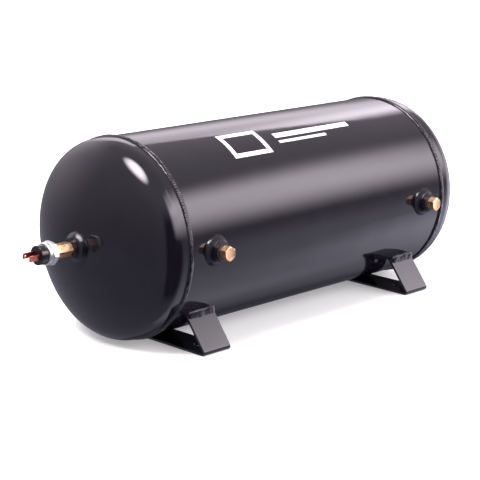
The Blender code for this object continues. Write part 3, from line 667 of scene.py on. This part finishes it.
def bore_cutter(name, at, start, end, radius):
    stations = [(start, 0), (start, radius), (end, radius), (end, 0)]
    return add_object(name, turned(stations, CUTTER_SIDES), FINISHES["black_enamel"], at)


def vessel_mesh():
    """The vessel's outer skin with its inner skin, which faces inwards."""
    shape = turned(vessel_surface(0), SHELL_SIDES)
    inside = turned(vessel_surface(WALL), SHELL_SIDES)
    inner_mesh = bpy.data.meshes.new("inside")
    bmesh.ops.recalc_face_normals(inside, faces=inside.faces)
    bmesh.ops.reverse_faces(inside, faces=inside.faces)
    inside.to_mesh(inner_mesh)
    inside.free()
    bmesh.ops.recalc_face_normals(shape, faces=shape.faces)
    shape.from_mesh(inner_mesh)
    mesh = bpy.data.meshes.new("vessel")
    shape.to_mesh(mesh)
    shape.free()
    bpy.data.meshes.remove(inner_mesh)
    mesh.transform(RIGHT_END)
    mesh.materials.append(FINISHES["black_enamel"])
    mesh.shade_smooth()
    return mesh


def add_vessel():
    """The shell and both heads, hollow, with a hole through them at each port."""
    vessel = place_object("vessel", vessel_mesh())
    wall_in = SHELL_RADIUS - WALL - CUT_MARGIN
    wall_out = SHELL_RADIUS + CUT_MARGIN
    crown_in = HEAD_APEX_OUT - WALL - CUT_MARGIN
    crown_out = HEAD_APEX_OUT + CUT_MARGIN
    cutters = [
        bore_cutter("left_cut", port_axis("left_port_boss"), wall_in, wall_out, BOSS_SPIGOT_RADIUS),
        bore_cutter("right_cut", port_axis("right_port_boss"), wall_in, wall_out, BOSS_SPIGOT_RADIUS),
        bore_cutter("drain_cut", DRAIN_AXIS, wall_in, wall_out, DRAIN_BOSS_RADIUS),
        bore_cutter("switch_cut", LEFT_END, crown_in, crown_out, BOSS_SPIGOT_RADIUS),
    ]
    combine(vessel, cutters)
    fit(vessel, "black_enamel", "tank", "shell", "left_head", "right_head")


def bead_section(half_width, height, steps):
    """Points (share, across, height) over a weld bead. share runs from -1 to 1 across it."""
    section = []
    for step in range(steps + 1):
        share = -1 + 2 * step / steps
        fullness = math.sqrt(max(0, 1 - abs(share) ** BEAD_FULLNESS))
        section.append((share, share * half_width, height * fullness))
    return section


def add_girth_weld(name, out_sign):
    """A rippled bead round the joint between shell and head."""
    stations = []
    for share, across, height in bead_section(GIRTH_BEAD_HALF_WIDTH, GIRTH_BEAD_HEIGHT, GIRTH_BEAD_STEPS):

        def station(angle, share=share, across=across, height=height):
            around = Vector((math.cos(angle), math.sin(angle)))
            drift = GIRTH_DRIFT * wander(*(around * GIRTH_DRIFT_WAVES), out_sign)
            swell = 1 + GIRTH_SWELL * wander(*(around * GIRTH_SWELL_WAVES), 4 + out_sign)
            distance = angle * SHELL_RADIUS
            lumps = GIRTH_LUMPS * wander(distance / GIRTH_LUMP_LENGTH, share * RIPPLE_REACH, out_sign)
            lift = height * swell + (ripple(distance, share * RIPPLE_REACH) + lumps) * (1 - share**4)
            return out_sign * GIRTH_OUT + across * swell + drift, SHELL_RADIUS + lift - EDGE_SINK

        stations.append(station)
    sunk = SHELL_RADIUS - ROOT_SINK
    stations.append((out_sign * GIRTH_OUT + GIRTH_BEAD_HALF_WIDTH / 2, sunk))
    stations.append((out_sign * GIRTH_OUT - GIRTH_BEAD_HALF_WIDTH / 2, sunk))
    shape = turned(stations, GIRTH_SIDES, hollow=True)
    add_piece(name, shape, "black_enamel", RIGHT_END, sharp=BEAD_SHARP)


def add_seam_weld():
    """The rolled shell's long seam, a lower and narrower rippled bead between the girth welds."""
    seed = 8.0
    half = GIRTH_OUT - GIRTH_BEAD_HALF_WIDTH
    count = round(2 * half / SEAM_ROW_PITCH)
    rows = []
    for step in range(count + 1):
        x = -half + 2 * half * step / count
        drift = SEAM_DRIFT * wander(x / SEAM_DRIFT_LENGTH, seed, 0.0)
        row = []
        for share, across, height in bead_section(SEAM_BEAD_HALF_WIDTH, SEAM_BEAD_HEIGHT, SEAM_BEAD_STEPS):
            lift = height + ripple(x, share * RIPPLE_REACH) * (1 - share**4)
            angle = SEAM_ANGLE + (across + drift) / SHELL_RADIUS
            radius = SHELL_RADIUS + lift - EDGE_SINK
            row.append((x, radius * math.cos(angle), radius * math.sin(angle)))
        sunk = SHELL_RADIUS - ROOT_SINK
        row.append((x, sunk * math.cos(SEAM_ANGLE), sunk * math.sin(SEAM_ANGLE)))
        rows.append(row)
    place = Matrix.Translation(MIDDLE)
    add_piece("shell_seam_weld", swept(rows), "black_enamel", place, sharp=BEAD_SHARP)


# Feet


def foot_side():
    """Front half of the strap: outer and inner points (y, z) from the top edge down round the bend."""
    corner = Vector((-FOOT_HALF_DEPTH, -AXIS_HEIGHT))
    up_slope = Vector((math.cos(FOOT_SLOPE), math.sin(FOOT_SLOPE)))
    inwards = Vector((math.sin(FOOT_SLOPE), -math.cos(FOOT_SLOPE)))
    inner_corner = corner + inwards * FOOT_PLATE
    nearest = -inner_corner.dot(up_slope)
    miss_squared = inner_corner.length_squared - nearest**2
    rise = nearest - math.sqrt((SHELL_RADIUS + CLEARANCE) ** 2 - miss_squared)
    top_inner = inner_corner + up_slope * rise
    outer = [top_inner - inwards * FOOT_PLATE]
    inner = [top_inner]
    tangent = FOOT_BEND_RADIUS / math.tan(FOOT_SLOPE / 2)
    centre = corner + Vector((tangent, FOOT_BEND_RADIUS))
    for across, up in arc(1, QUARTER + FOOT_SLOPE, 3 * QUARTER, FOOT_BEND_STEPS):
        way = Vector((across, up))
        outer.append(centre + way * FOOT_BEND_RADIUS)
        inner.append(centre + way * (FOOT_BEND_RADIUS - FOOT_PLATE))
    return outer, inner


def add_foot(name):
    """One bent strap, its cut edges rounded, with a bolt hole through its base front and back."""
    outer, inner = foot_side()
    mirrored_outer = [Vector((-point.x, point.y)) for point in reversed(outer)]
    mirrored_inner = [Vector((-point.x, point.y)) for point in reversed(inner)]
    outline = outer + mirrored_outer + list(reversed(inner + mirrored_inner))
    place = on_tank_axis(name)
    section = [(point.x, point.y) for point in outline]
    shape = prism(section, -FOOT_HALF_WIDTH, FOOT_HALF_WIDTH, lambda y, z, x: (x, y, z))
    foot = add_object(name + "_strap", shape, FINISHES["black_enamel"], place)
    cutters = []
    for side in (-1, 1):
        at = place @ Matrix.Translation((0, side * FOOT_BOLT_Y, 0))
        low = -AXIS_HEIGHT - FOOT_PLATE
        cutters.append(bore_cutter("bolt_cut", at, low, low + 3 * FOOT_PLATE, FOOT_BOLT_HOLE_RADIUS))
    combine(foot, cutters)
    round_edges(foot, FOOT_EDGE, 3)
    fit(foot, "black_enamel", "tank", name)


def add_foot_weld(foot, side_name, side):
    """A lumpy fillet along the top edge of one side of a foot."""
    outer, inner = foot_side()
    outwards = (outer[0] - inner[0]).normalized()
    up_slope = Vector((math.cos(FOOT_SLOPE), math.sin(FOOT_SLOPE)))
    corner_angle = math.atan2(outer[0].y, outer[0].x)
    seed = box_middle(foot).x * 10 + side
    rows = []
    for step in range(FOOT_WELD_ROWS + 1):
        share = -1 + 2 * step / FOOT_WELD_ROWS
        x = share * (FOOT_HALF_WIDTH + FOOT_WELD_OVERHANG)
        full = math.sqrt(max(FOOT_WELD_END_LEAST, 1 - abs(share) ** FOOT_WELD_END_POWER))
        lump = sum(size * wander(x / length, seed, own_seed) for size, length, own_seed in FOOT_WELD_LUMPS)
        leg_up, leg_down = (
            FOOT_WELD_LEG * full * (1 + FOOT_WELD_LEG_CHANGE * wander(x / length, seed, own_seed))
            for length, own_seed in FOOT_WELD_LEG_WAVES
        )
        tip_angle = corner_angle - leg_up / SHELL_RADIUS
        tip = (SHELL_RADIUS - EDGE_SINK) * Vector((math.cos(tip_angle), math.sin(tip_angle)))
        toe = outer[0] - up_slope * leg_down - outwards * EDGE_SINK
        row = []
        for part in range(FOOT_WELD_STEPS + 1):
            along = part / FOOT_WELD_STEPS
            bulge = 4 * along * (1 - along)
            lift = bulge * full * (FOOT_WELD_CROWN * (1 + lump) + ripple(x, 2 * along - 1))
            row.append(tip.lerp(toe, along) + outwards * lift)
        row.append(inner[0] + (outer[0] - inner[0]) * 0.5)
        rows.append([(x, point.x * side, point.y) for point in row])
    name = f"{foot}_{side_name}_weld"
    add_piece(name, swept(rows), "black_enamel", on_tank_axis(foot), sharp=FILLET_SHARP)


# Ports


def add_boss(node, at, surface):
    """A threaded bung with a stepped face."""
    end = axis_reach(node, at)
    stations = [
        (surface - BOSS_SPIGOT_DEPTH, BORE_RADIUS),
        (surface - BOSS_SPIGOT_DEPTH, BOSS_SPIGOT_RADIUS),
        (surface, BOSS_SPIGOT_RADIUS),
        (surface, BOSS_RADIUS),
        (end - BOSS_LIP_HEIGHT, BOSS_RADIUS),
        (end - BOSS_LIP_HEIGHT, BOSS_LIP_RADIUS),
        (end, BOSS_LIP_RADIUS),
        (end, BORE_RADIUS),
    ]
    add_piece(node, turned(stations, hollow=True), "black_enamel", at, BOSS_EDGE)


def add_boss_weld(node, at, surface, surface_at):
    """The fillet round a boss. surface_at(radius, angle) is the vessel's surface under it."""
    top_radius = BOSS_RADIUS + WELD_STANDOFF
    top = surface + BOSS_WELD_HEIGHT
    seed = box_middle(node).x * 20
    stations = []
    for step in range(BOSS_WELD_STEPS + 1):
        share = step / BOSS_WELD_STEPS

        def station(angle, share=share):
            around = Vector((math.cos(angle), math.sin(angle)))
            toe_radius = BOSS_WELD_RADIUS + BOSS_WELD_DRIFT * wander(*(around * BOSS_WELD_DRIFT_WAVES), seed)
            radius = toe_radius + (top_radius - toe_radius) * share
            low = surface_at(toe_radius, angle) - BOSS_WELD_TOE_SINK
            belly = 4 * share * (1 - share)
            grooves = BOSS_WELD_RIPPLES * ripple(angle * BOSS_WELD_RADIUS, 2 * share - 1)
            lift = belly * (BOSS_WELD_BELLY + grooves)
            return low + (top - low) * share + lift, radius + lift

        stations.append(station)
    stations.append((surface - BOSS_WELD_ROOT_DEPTH, top_radius))
    stations.append((surface - BOSS_WELD_ROOT_DEPTH, BOSS_WELD_RADIUS - BOSS_WELD_ROOT_INSET))
    shape = turned(stations, BOSS_WELD_SIDES, hollow=True)
    add_piece(node, shape, "black_enamel", at, sharp=FILLET_SHARP)


def shell_surface_at(radius, angle):
    return math.sqrt(SHELL_RADIUS**2 - (radius * math.sin(angle)) ** 2)


def crown_surface_at(radius, angle):
    return HEAD_APEX_OUT - CROWN_RADIUS + math.sqrt(CROWN_RADIUS**2 - radius**2)


def add_plug(node, at):
    """A hexagon-headed pipe plug with its thread."""
    start, end = y_out(node)
    head = end - PLUG_HEAD
    face = end - PLUG_FACE_SINK
    stations = [(start, 0), (start, THREAD_RADIUS - THREAD_DEPTH)]
    stations += thread(start + THREAD_LEAD, head - PLUG_NECK, THREAD_RADIUS)
    stations += [(head, THREAD_RADIUS - THREAD_RELIEF), *hex_head(head, end, PLUG_FLATS)]
    stations += [(face, PLUG_FACE_SHARE * PLUG_FLATS / 2), (face, 0)]
    add_piece(node, turned(stations), "brass", at, PLUG_EDGE, sharp=TURNED_SHARP, body=node)


def add_washer(node, at):
    """The flat sealing washer under a plug's head."""
    start, end = y_out(node)
    inner = THREAD_RADIUS + CLEARANCE
    stations = [(start, inner), (start, WASHER_RADIUS), (end, WASHER_RADIUS), (end, inner)]
    add_piece(node, turned(stations, hollow=True), "black_rubber", at, WASHER_EDGE, body=node)


def add_drain():
    """The flush boss under the shell, its low weld ring and its socket plug."""
    inner = SHELL_RADIUS - DRAIN_BOSS_DEPTH
    stations = [
        (inner, BORE_RADIUS),
        (inner, DRAIN_BOSS_RADIUS),
        (SHELL_RADIUS, DRAIN_BOSS_RADIUS),
        (SHELL_RADIUS, BORE_RADIUS),
    ]
    add_piece("drain_boss", turned(stations, hollow=True), "black_enamel", DRAIN_AXIS, BOSS_EDGE, 2)

    top = axis_reach("drain_weld", DRAIN_AXIS)
    ring = [
        (SHELL_RADIUS - DRAIN_WELD_DEPTH, DRAIN_BOSS_RADIUS + WELD_STANDOFF),
        (top, DRAIN_BOSS_RADIUS + WELD_STANDOFF),
        (top, DRAIN_WELD_TOP_RADIUS),
        (SHELL_RADIUS - DRAIN_WELD_DEPTH, DRAIN_WELD_RADIUS),
    ]
    add_piece("drain_weld", turned(ring, hollow=True), "black_enamel", DRAIN_AXIS, DRAIN_WELD_EDGE, 4)

    end = axis_reach("drain_plug", DRAIN_AXIS)
    socket = end - DRAIN_SOCKET_DEPTH
    plug_stations = [
        (end - DRAIN_PLUG_LENGTH, 0),
        (end - DRAIN_PLUG_LENGTH, THREAD_RADIUS),
        (end, THREAD_RADIUS),
        (end, DRAIN_SOCKET_FLATS * DRAIN_SOCKET_MOUTH),
        hexagon(end - DRAIN_SOCKET_CHAMFER, DRAIN_SOCKET_FLATS),
        hexagon(socket, DRAIN_SOCKET_FLATS),
        (socket, 0),
    ]
    add_piece("drain_plug", turned(plug_stations), "bright_steel", DRAIN_AXIS, DRAIN_PLUG_EDGE, 2)


# Pressure switch


def add_adapter():
    """Brass hexagon between the boss and the switch."""
    start = x_out("switch_port_boss")[1] + CLEARANCE
    thread_start, end = x_out("switch_adapter")
    socket = end - ADAPTER_SOCKET_DEPTH
    stations = [(thread_start, ADAPTER_BORE_RADIUS), (thread_start, THREAD_RADIUS - THREAD_DEPTH)]
    stations += thread(thread_start + THREAD_LEAD, start - ADAPTER_NECK, THREAD_RADIUS)
    stations += [(start, THREAD_RADIUS - THREAD_RELIEF), *hex_head(start, end, PLUG_FLATS)]
    stations += [
        (end, ADAPTER_SOCKET_RADIUS),
        (socket, ADAPTER_SOCKET_RADIUS),
        (socket, ADAPTER_BORE_RADIUS),
    ]
    shape = turned(stations, hollow=True)
    add_piece("switch_adapter", shape, "brass", LEFT_END, SWITCH_EDGE, sharp=TURNED_SHARP)


def add_switch_body():
    """Zinc-plated hexagon and the collar above it, whose rounded rim is crimped in over the cap."""
    collar_end = x_out("switch_body")[1]
    start = x_out("switch_adapter")[1] + CLEARANCE
    hex_end = start + SWITCH_HEX
    collar_start = hex_end + COLLAR_GROOVE
    stem = start - STEM_LENGTH
    stations = [(stem, STEM_BORE_RADIUS), (stem, STEM_RADIUS), (start, STEM_RADIUS)]
    stations += hex_head(start, hex_end, SWITCH_FLATS)
    stations += [(hex_end, COLLAR_GROOVE_RADIUS), (collar_start, COLLAR_GROOVE_RADIUS)]
    foot_out = collar_start + COLLAR_FOOT_ROUND
    for along, across in arc(COLLAR_FOOT_ROUND, math.pi, QUARTER, 5):
        stations.append((foot_out + along, COLLAR_RADIUS - COLLAR_FOOT_ROUND + across))
    for along, across in arc(COLLAR_ROUND, QUARTER, COLLAR_ROUND_END, 10):
        stations.append((collar_end - COLLAR_ROUND + along, COLLAR_RADIUS - COLLAR_ROUND + across))
    stations += [
        (collar_end - POCKET_TOP, CRIMP_LIP_RADIUS),
        (collar_end - POCKET_TOP, POCKET_RADIUS),
        (collar_end - POCKET_FLOOR, POCKET_RADIUS),
        (collar_end - POCKET_FLOOR, CAVITY_RADIUS),
        (start + CAVITY_FLOOR, CAVITY_RADIUS),
        (start + CAVITY_FLOOR, STEM_BORE_RADIUS),
    ]
    shape = turned(stations, hollow=True)
    add_piece("switch_body", shape, "zinc_plate", SWITCH_AXIS, SWITCH_EDGE, sharp=TURNED_SHARP)


def add_cap():
    """The moulded cap with a slot for each terminal."""
    start, end = x_out("terminal_cap")
    flange_end = start + CAP_FLANGE
    chamber_end = end - CAP_END_WALL
    stations = [
        (chamber_end, 0),
        (chamber_end, CAP_CHAMBER_RADIUS),
        (start, CAP_CHAMBER_RADIUS),
        (start, CAP_FLANGE_RADIUS),
        (flange_end, CAP_FLANGE_RADIUS),
        (flange_end, CAP_RADIUS),
    ]
    for along, across in arc(CAP_END_ROUND, QUARTER, 0, 6):
        stations.append((end - CAP_END_ROUND + along, CAP_RADIUS - CAP_END_ROUND + across))
    stations.append((end, 0))
    cap = add_object("terminal_cap", turned(stations), FINISHES["black_plastic"], SWITCH_AXIS)
    half_width = TERMINAL_WIDTH / 2 + CLEARANCE
    half_thick = TERMINAL_NECK_THICKNESS / 2 + CLEARANCE
    cutters = []
    for side in (-1, 1):
        middle = side * TERMINAL_SPACING / 2
        low = Vector((-half_width, middle - half_thick, chamber_end - THIN_CUT_REACH))
        high = Vector((half_width, middle + half_thick, end + THIN_CUT_REACH))
        cutters.append(add_object("slot_cut", block(low, high), FINISHES["black_plastic"], SWITCH_AXIS))
    combine(cap, cutters)
    round_edges(cap, CAP_EDGE)
    fit(cap, "black_plastic", "tank", "terminal_cap")


def add_spring():
    """The return spring's coil, built at a single length; the contact bridge rises against it."""
    start, end = x_out("return_spring")
    low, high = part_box("return_spring")
    mean_radius = (high.z - low.z) / 2 - SPRING_WIRE_RADIUS
    rise = end - start - 2 * SPRING_WIRE_RADIUS
    steps = SPRING_TURNS * SPRING_STEPS
    rows = []
    for step in range(steps + 1):
        turn = math.tau * step / SPRING_STEPS
        centre = start + SPRING_WIRE_RADIUS + rise * step / steps
        row = []
        for sideways, along in arc(SPRING_WIRE_RADIUS, 0, math.tau, SPRING_WIRE_SIDES)[:-1]:
            reach = mean_radius + sideways
            row.append((reach * math.cos(turn), reach * math.sin(turn), centre + along))
        rows.append(row)
    spring = add_piece("return_spring", swept(rows), "bright_steel", SWITCH_AXIS)
    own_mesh(spring)


def add_terminal(node, side):
    """A spade blade with a locating hole. Its neck enters the cap, and its foot turns in as a contact."""
    contact, tip = x_out(node)
    half_width = TERMINAL_WIDTH / 2
    neck = TERMINAL_NECK_WIDTH / 2
    neck_half = TERMINAL_NECK_THICKNESS / 2
    blade_start = x_out("terminal_cap")[1] + CLEARANCE
    shoulder = tip - TERMINAL_TIP_CHAMFER
    outline = [
        (-half_width, blade_start),
        (half_width, blade_start),
        (half_width, shoulder),
        (half_width - TERMINAL_TIP_CHAMFER, tip),
        (TERMINAL_TIP_CHAMFER - half_width, tip),
        (-half_width, shoulder),
    ]
    middle = side * TERMINAL_SPACING / 2
    half = TERMINAL_THICKNESS / 2
    shape = prism(outline, middle - half, middle + half, lambda x, out, y: (x, y, out))
    copper = FINISHES["terminal_copper"]
    terminal = add_object(node, shape, copper, SWITCH_AXIS)
    low = Vector((-neck, middle - neck_half, contact))
    high = Vector((neck, middle + neck_half, blade_start + TERMINAL_THICKNESS))
    neck_part = add_object("neck_part", block(low, high), copper, SWITCH_AXIS)
    inner_end, outer_end = sorted((side * TERMINAL_CONTACT_INNER, middle))
    low = Vector((-half_width, inner_end, contact))
    high = Vector((half_width, outer_end, contact + TERMINAL_THICKNESS))
    foot_part = add_object("foot_part", block(low, high), copper, SWITCH_AXIS)
    combine(terminal, [neck_part, foot_part], "UNION")
    at = SWITCH_AXIS @ Matrix.Translation((0, middle, tip - TERMINAL_HOLE_FROM_TIP))
    hole_at = at @ Matrix.Rotation(QUARTER, 4, "X")
    hole = bore_cutter("hole_cut", hole_at, -THIN_CUT_REACH, THIN_CUT_REACH, TERMINAL_HOLE_RADIUS)
    combine(terminal, [hole])
    round_edges(terminal, TERMINAL_EDGE)
    fit(terminal, "terminal_copper", "tank", node)


# Printed mark: a plain frame and two plain stripes, with no lettering


def printed_patch(name, outline_rows, ink):
    """A thin raised patch on the shell. Each row holds points (x, degrees above the front)."""
    rows = []
    for row in outline_rows:
        section = []
        for lift in (INK_RISE, -INK_ROOT):
            ring = []
            for x, degrees in row:
                radius = SHELL_RADIUS + lift
                angle = math.radians(degrees)
                ring.append((x * MM, -radius * math.cos(angle), radius * math.sin(angle)))
            section += ring if lift > 0 else reversed(ring)
        rows.append(section)
    patch = add_object(name, swept(rows), ink, Matrix.Translation(MIDDLE))
    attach(patch, "tank")


def stripe_rows(x_low, x_high, low, high):
    """Rows across a stripe, about a degree of the shell apart."""
    steps = max(1, round(high - low))
    rows = []
    for step in range(steps + 1):
        degrees = low + (high - low) * step / steps
        rows.append([(x_low, degrees), (x_high, degrees)])
    return rows


def add_mark():
    """Each bar runs from x to x in mm from the tank's middle, and between two heights in degrees."""
    ink = ink_finish()
    bars = {
        "mark_frame_top": (-110, -50, 66.5, 69.5),
        "mark_frame_bottom": (-110, -50, 49.5, 52.5),
        "mark_frame_left": (-110, -104, 52.5, 66.5),
        "mark_frame_right": (-56, -50, 52.5, 66.5),
        "mark_stripe_wide": (-30, 98, 59.5, 63.5),
        "mark_stripe_narrow": (-30, 50, 55.0, 57.0),
    }
    for name, (x_low, x_high, low, high) in bars.items():
        printed_patch(name, stripe_rows(x_low, x_high, low, high), ink)


# Stage, light and camera


def world_math(tree, operation, first, second):
    node = shader_node(tree, "Math", operation=operation)
    for socket, value in zip(node.inputs, (first, second)):
        if isinstance(value, (int, float)):
            socket.default_value = value
        else:
            tree.links.new(value, socket)
    return node.outputs["Value"]


def smooth_step(tree, value, low, high, first=0.0, last=1.0):
    """Goes smoothly from first to last while the value goes from low to high."""
    node = shader_node(tree, "MapRange", interpolation_type="SMOOTHSTEP")
    for socket, number in (("From Min", low), ("From Max", high), ("To Min", first), ("To Max", last)):
        node.inputs[socket].default_value = number
    tree.links.new(value, node.inputs["Value"])
    return node.outputs["Result"]


def add_floor():
    """A plain pale floor. Glossy surfaces reflect the studio's own lower half instead of it."""
    shape = bmesh.new()
    bmesh.ops.create_circle(shape, cap_ends=True, radius=FLOOR_RADIUS, segments=FLOOR_SIDES)
    material = bpy.data.materials.new("pale_floor")
    material.use_nodes = True
    shader = material.node_tree.nodes["Principled BSDF"]
    shader.inputs["Base Color"].default_value = FLOOR_COLOUR
    shader.inputs["Roughness"].default_value = FLOOR_ROUGHNESS
    shader.inputs["Emission Color"].default_value = (1, 1, 1, 1)
    shader.inputs["Emission Strength"].default_value = FLOOR_GLOW
    floor = add_object("floor", shape, material, Matrix.Translation((0, 0, -FLOOR_DROP)))
    floor.visible_glossy = False


def softbox(tree, azimuth, elevation, azimuths, elevations, level):
    """A panel of light. Each side is (start, its softness, end, its softness), in degrees."""
    light = level
    for value, (start, start_soft, end, end_soft) in ((azimuth, azimuths), (elevation, elevations)):
        edges = [math.radians(edge) for edge in (start - start_soft, start + start_soft)]
        light = world_math(tree, "MULTIPLY", light, smooth_step(tree, value, *edges))
        edges = [math.radians(edge) for edge in (end - end_soft, end + end_soft)]
        light = world_math(tree, "MULTIPLY", light, smooth_step(tree, value, *edges, 1.0, 0.0))
    return light


def round_panel(tree, direction, azimuth, elevation, core, edge, level):
    """A round panel of light that fades from its core to its edge. Angles are in degrees."""
    towards = Matrix.Rotation(math.radians(azimuth), 3, "Z") @ Vector((0, -1, 0))
    towards = towards * math.cos(math.radians(elevation)) + Vector((0, 0, math.sin(math.radians(elevation))))
    dot = shader_node(tree, "VectorMath", operation="DOT_PRODUCT")
    dot.inputs[1].default_value = towards
    tree.links.new(direction, dot.inputs[0])
    limits = math.cos(math.radians(edge)), math.cos(math.radians(core))
    return smooth_step(tree, dot.outputs["Value"], *limits, 0.0, level)


def add_light():
    """A studio of soft panels in the world. Azimuth runs from -Y (0) through +X (90)."""
    world = bpy.data.worlds.new("studio")
    bpy.context.scene.world = world
    world.use_nodes = True
    tree = world.node_tree
    background = tree.nodes["Background"]
    place = shader_node(tree, "TexCoord")
    split = shader_node(tree, "SeparateXYZ")
    tree.links.new(place.outputs["Generated"], split.inputs["Vector"])
    back = world_math(tree, "MULTIPLY", split.outputs["Y"], -1.0)
    azimuth = world_math(tree, "ARCTAN2", split.outputs["X"], back)
    elevation = world_math(tree, "ARCSINE", split.outputs["Z"], 0.0)

    total = smooth_step(tree, elevation, *DOME_ELEVATIONS, *DOME_LEVELS)
    panels = [
        ((2, 12, 65, 13), (11, 12, 35, 8), 5.5),
        ((-2, 8, 43, 9), (29, 6, 47, 6), 3.2),
        ((109, 6, 156, 10), (15, 9, 35.7, 0.8), 1.8),
        ((110, 6, 121, 6), (24, 7, 35.7, 0.8), 2.6),
        ((-181, 1, -150, 26), (8, 20, 44, 14), 0.9),
        ((160, 16, 181, 1), (8, 20, 44, 14), 0.9),
        ((-38, 14, 26, 12), (-52, 14, 28, 12), -0.6),
        ((43, 9, 88, 14), (-85, 20, -7, 9), 0.52),
        ((62, 10, 100, 12), (-30, 12, 14, 10), 1.9),
        ((108, 12, 150, 12), (-62, 8, 2, 8), -0.26),
    ]
    for azimuths, elevations, level in panels:
        panel = softbox(tree, azimuth, elevation, azimuths, elevations, level)
        total = world_math(tree, "ADD", total, panel)
    direction = place.outputs["Generated"]
    spot = round_panel(tree, direction, azimuth=-93, elevation=64, core=3, edge=20, level=24.0)
    total = world_math(tree, "MAXIMUM", world_math(tree, "ADD", total, spot), DARKEST)

    rays = shader_node(tree, "LightPath")
    seen = rays.outputs["Is Camera Ray"]
    tints = shader_node(tree, "Mix", data_type="RGBA")
    tints.inputs["A"].default_value = LOWER_TINT
    tints.inputs["B"].default_value = UPPER_TINT
    tree.links.new(smooth_step(tree, elevation, *TINT_ELEVATIONS), tints.inputs["Factor"])
    backdrop = shader_node(tree, "Mix", data_type="RGBA")
    backdrop.inputs["B"].default_value = (1, 1, 1, 1)
    tree.links.new(tints.outputs["Result"], backdrop.inputs["A"])
    tree.links.new(seen, backdrop.inputs["Factor"])
    tree.links.new(backdrop.outputs["Result"], background.inputs["Color"])
    hidden = world_math(tree, "SUBTRACT", 1.0, seen)
    strength = world_math(tree, "ADD", world_math(tree, "MULTIPLY", total, hidden), seen)
    tree.links.new(strength, background.inputs["Strength"])


def add_camera():
    """The photograph's view: azimuth and elevation of the camera from its target, and a little roll."""
    level = math.cos(CAMERA_ELEVATION)
    back = Vector(
        (math.sin(CAMERA_AZIMUTH) * level, -math.cos(CAMERA_AZIMUTH) * level, math.sin(CAMERA_ELEVATION))
    )
    right = back.cross(Vector((0, 0, -1))).normalized()
    upright = right.cross(-back)
    turned_right = right * math.cos(CAMERA_ROLL) + upright * math.sin(CAMERA_ROLL)
    turned_up = upright * math.cos(CAMERA_ROLL) - right * math.sin(CAMERA_ROLL)
    data = bpy.data.cameras.new("camera")
    data.lens = CAMERA_LENS
    data.sensor_width = CAMERA_SENSOR
    data.clip_end = CAMERA_CLIP_END
    camera = place_object("camera", data)
    axes = Matrix((turned_right, turned_up, back)).transposed().to_4x4()
    camera.matrix_world = Matrix.Translation(CAMERA_TARGET + back * CAMERA_DISTANCE) @ axes
    bpy.context.scene.camera = camera


def main():
    bpy.context.scene.view_settings.view_transform = "Standard"
    dress_cad_nodes()
    add_vessel()
    add_girth_weld("left_girth_weld", -1)
    add_girth_weld("right_girth_weld", 1)
    add_seam_weld()
    for foot in ("left_foot", "right_foot"):
        add_foot(foot)
        add_foot_weld(foot, "front", 1)
        add_foot_weld(foot, "rear", -1)
    for side in ("left", "right"):
        axis = port_axis(f"{side}_port_boss")
        add_boss(f"{side}_port_boss", axis, SHELL_RADIUS)
        add_boss_weld(f"{side}_port_weld", axis, SHELL_RADIUS, shell_surface_at)
        add_washer(f"{side}_plug_washer", axis)
        add_plug(f"{side}_port_plug", axis)
    add_boss("switch_port_boss", LEFT_END, HEAD_APEX_OUT)
    add_boss_weld("switch_port_weld", LEFT_END, HEAD_APEX_OUT, crown_surface_at)
    add_drain()
    add_adapter()
    add_switch_body()
    add_cap()
    add_terminal("near_terminal", -1)
    add_terminal("far_terminal", 1)
    add_spring()
    add_mark()
    add_floor()
    add_light()
    add_camera()


main()
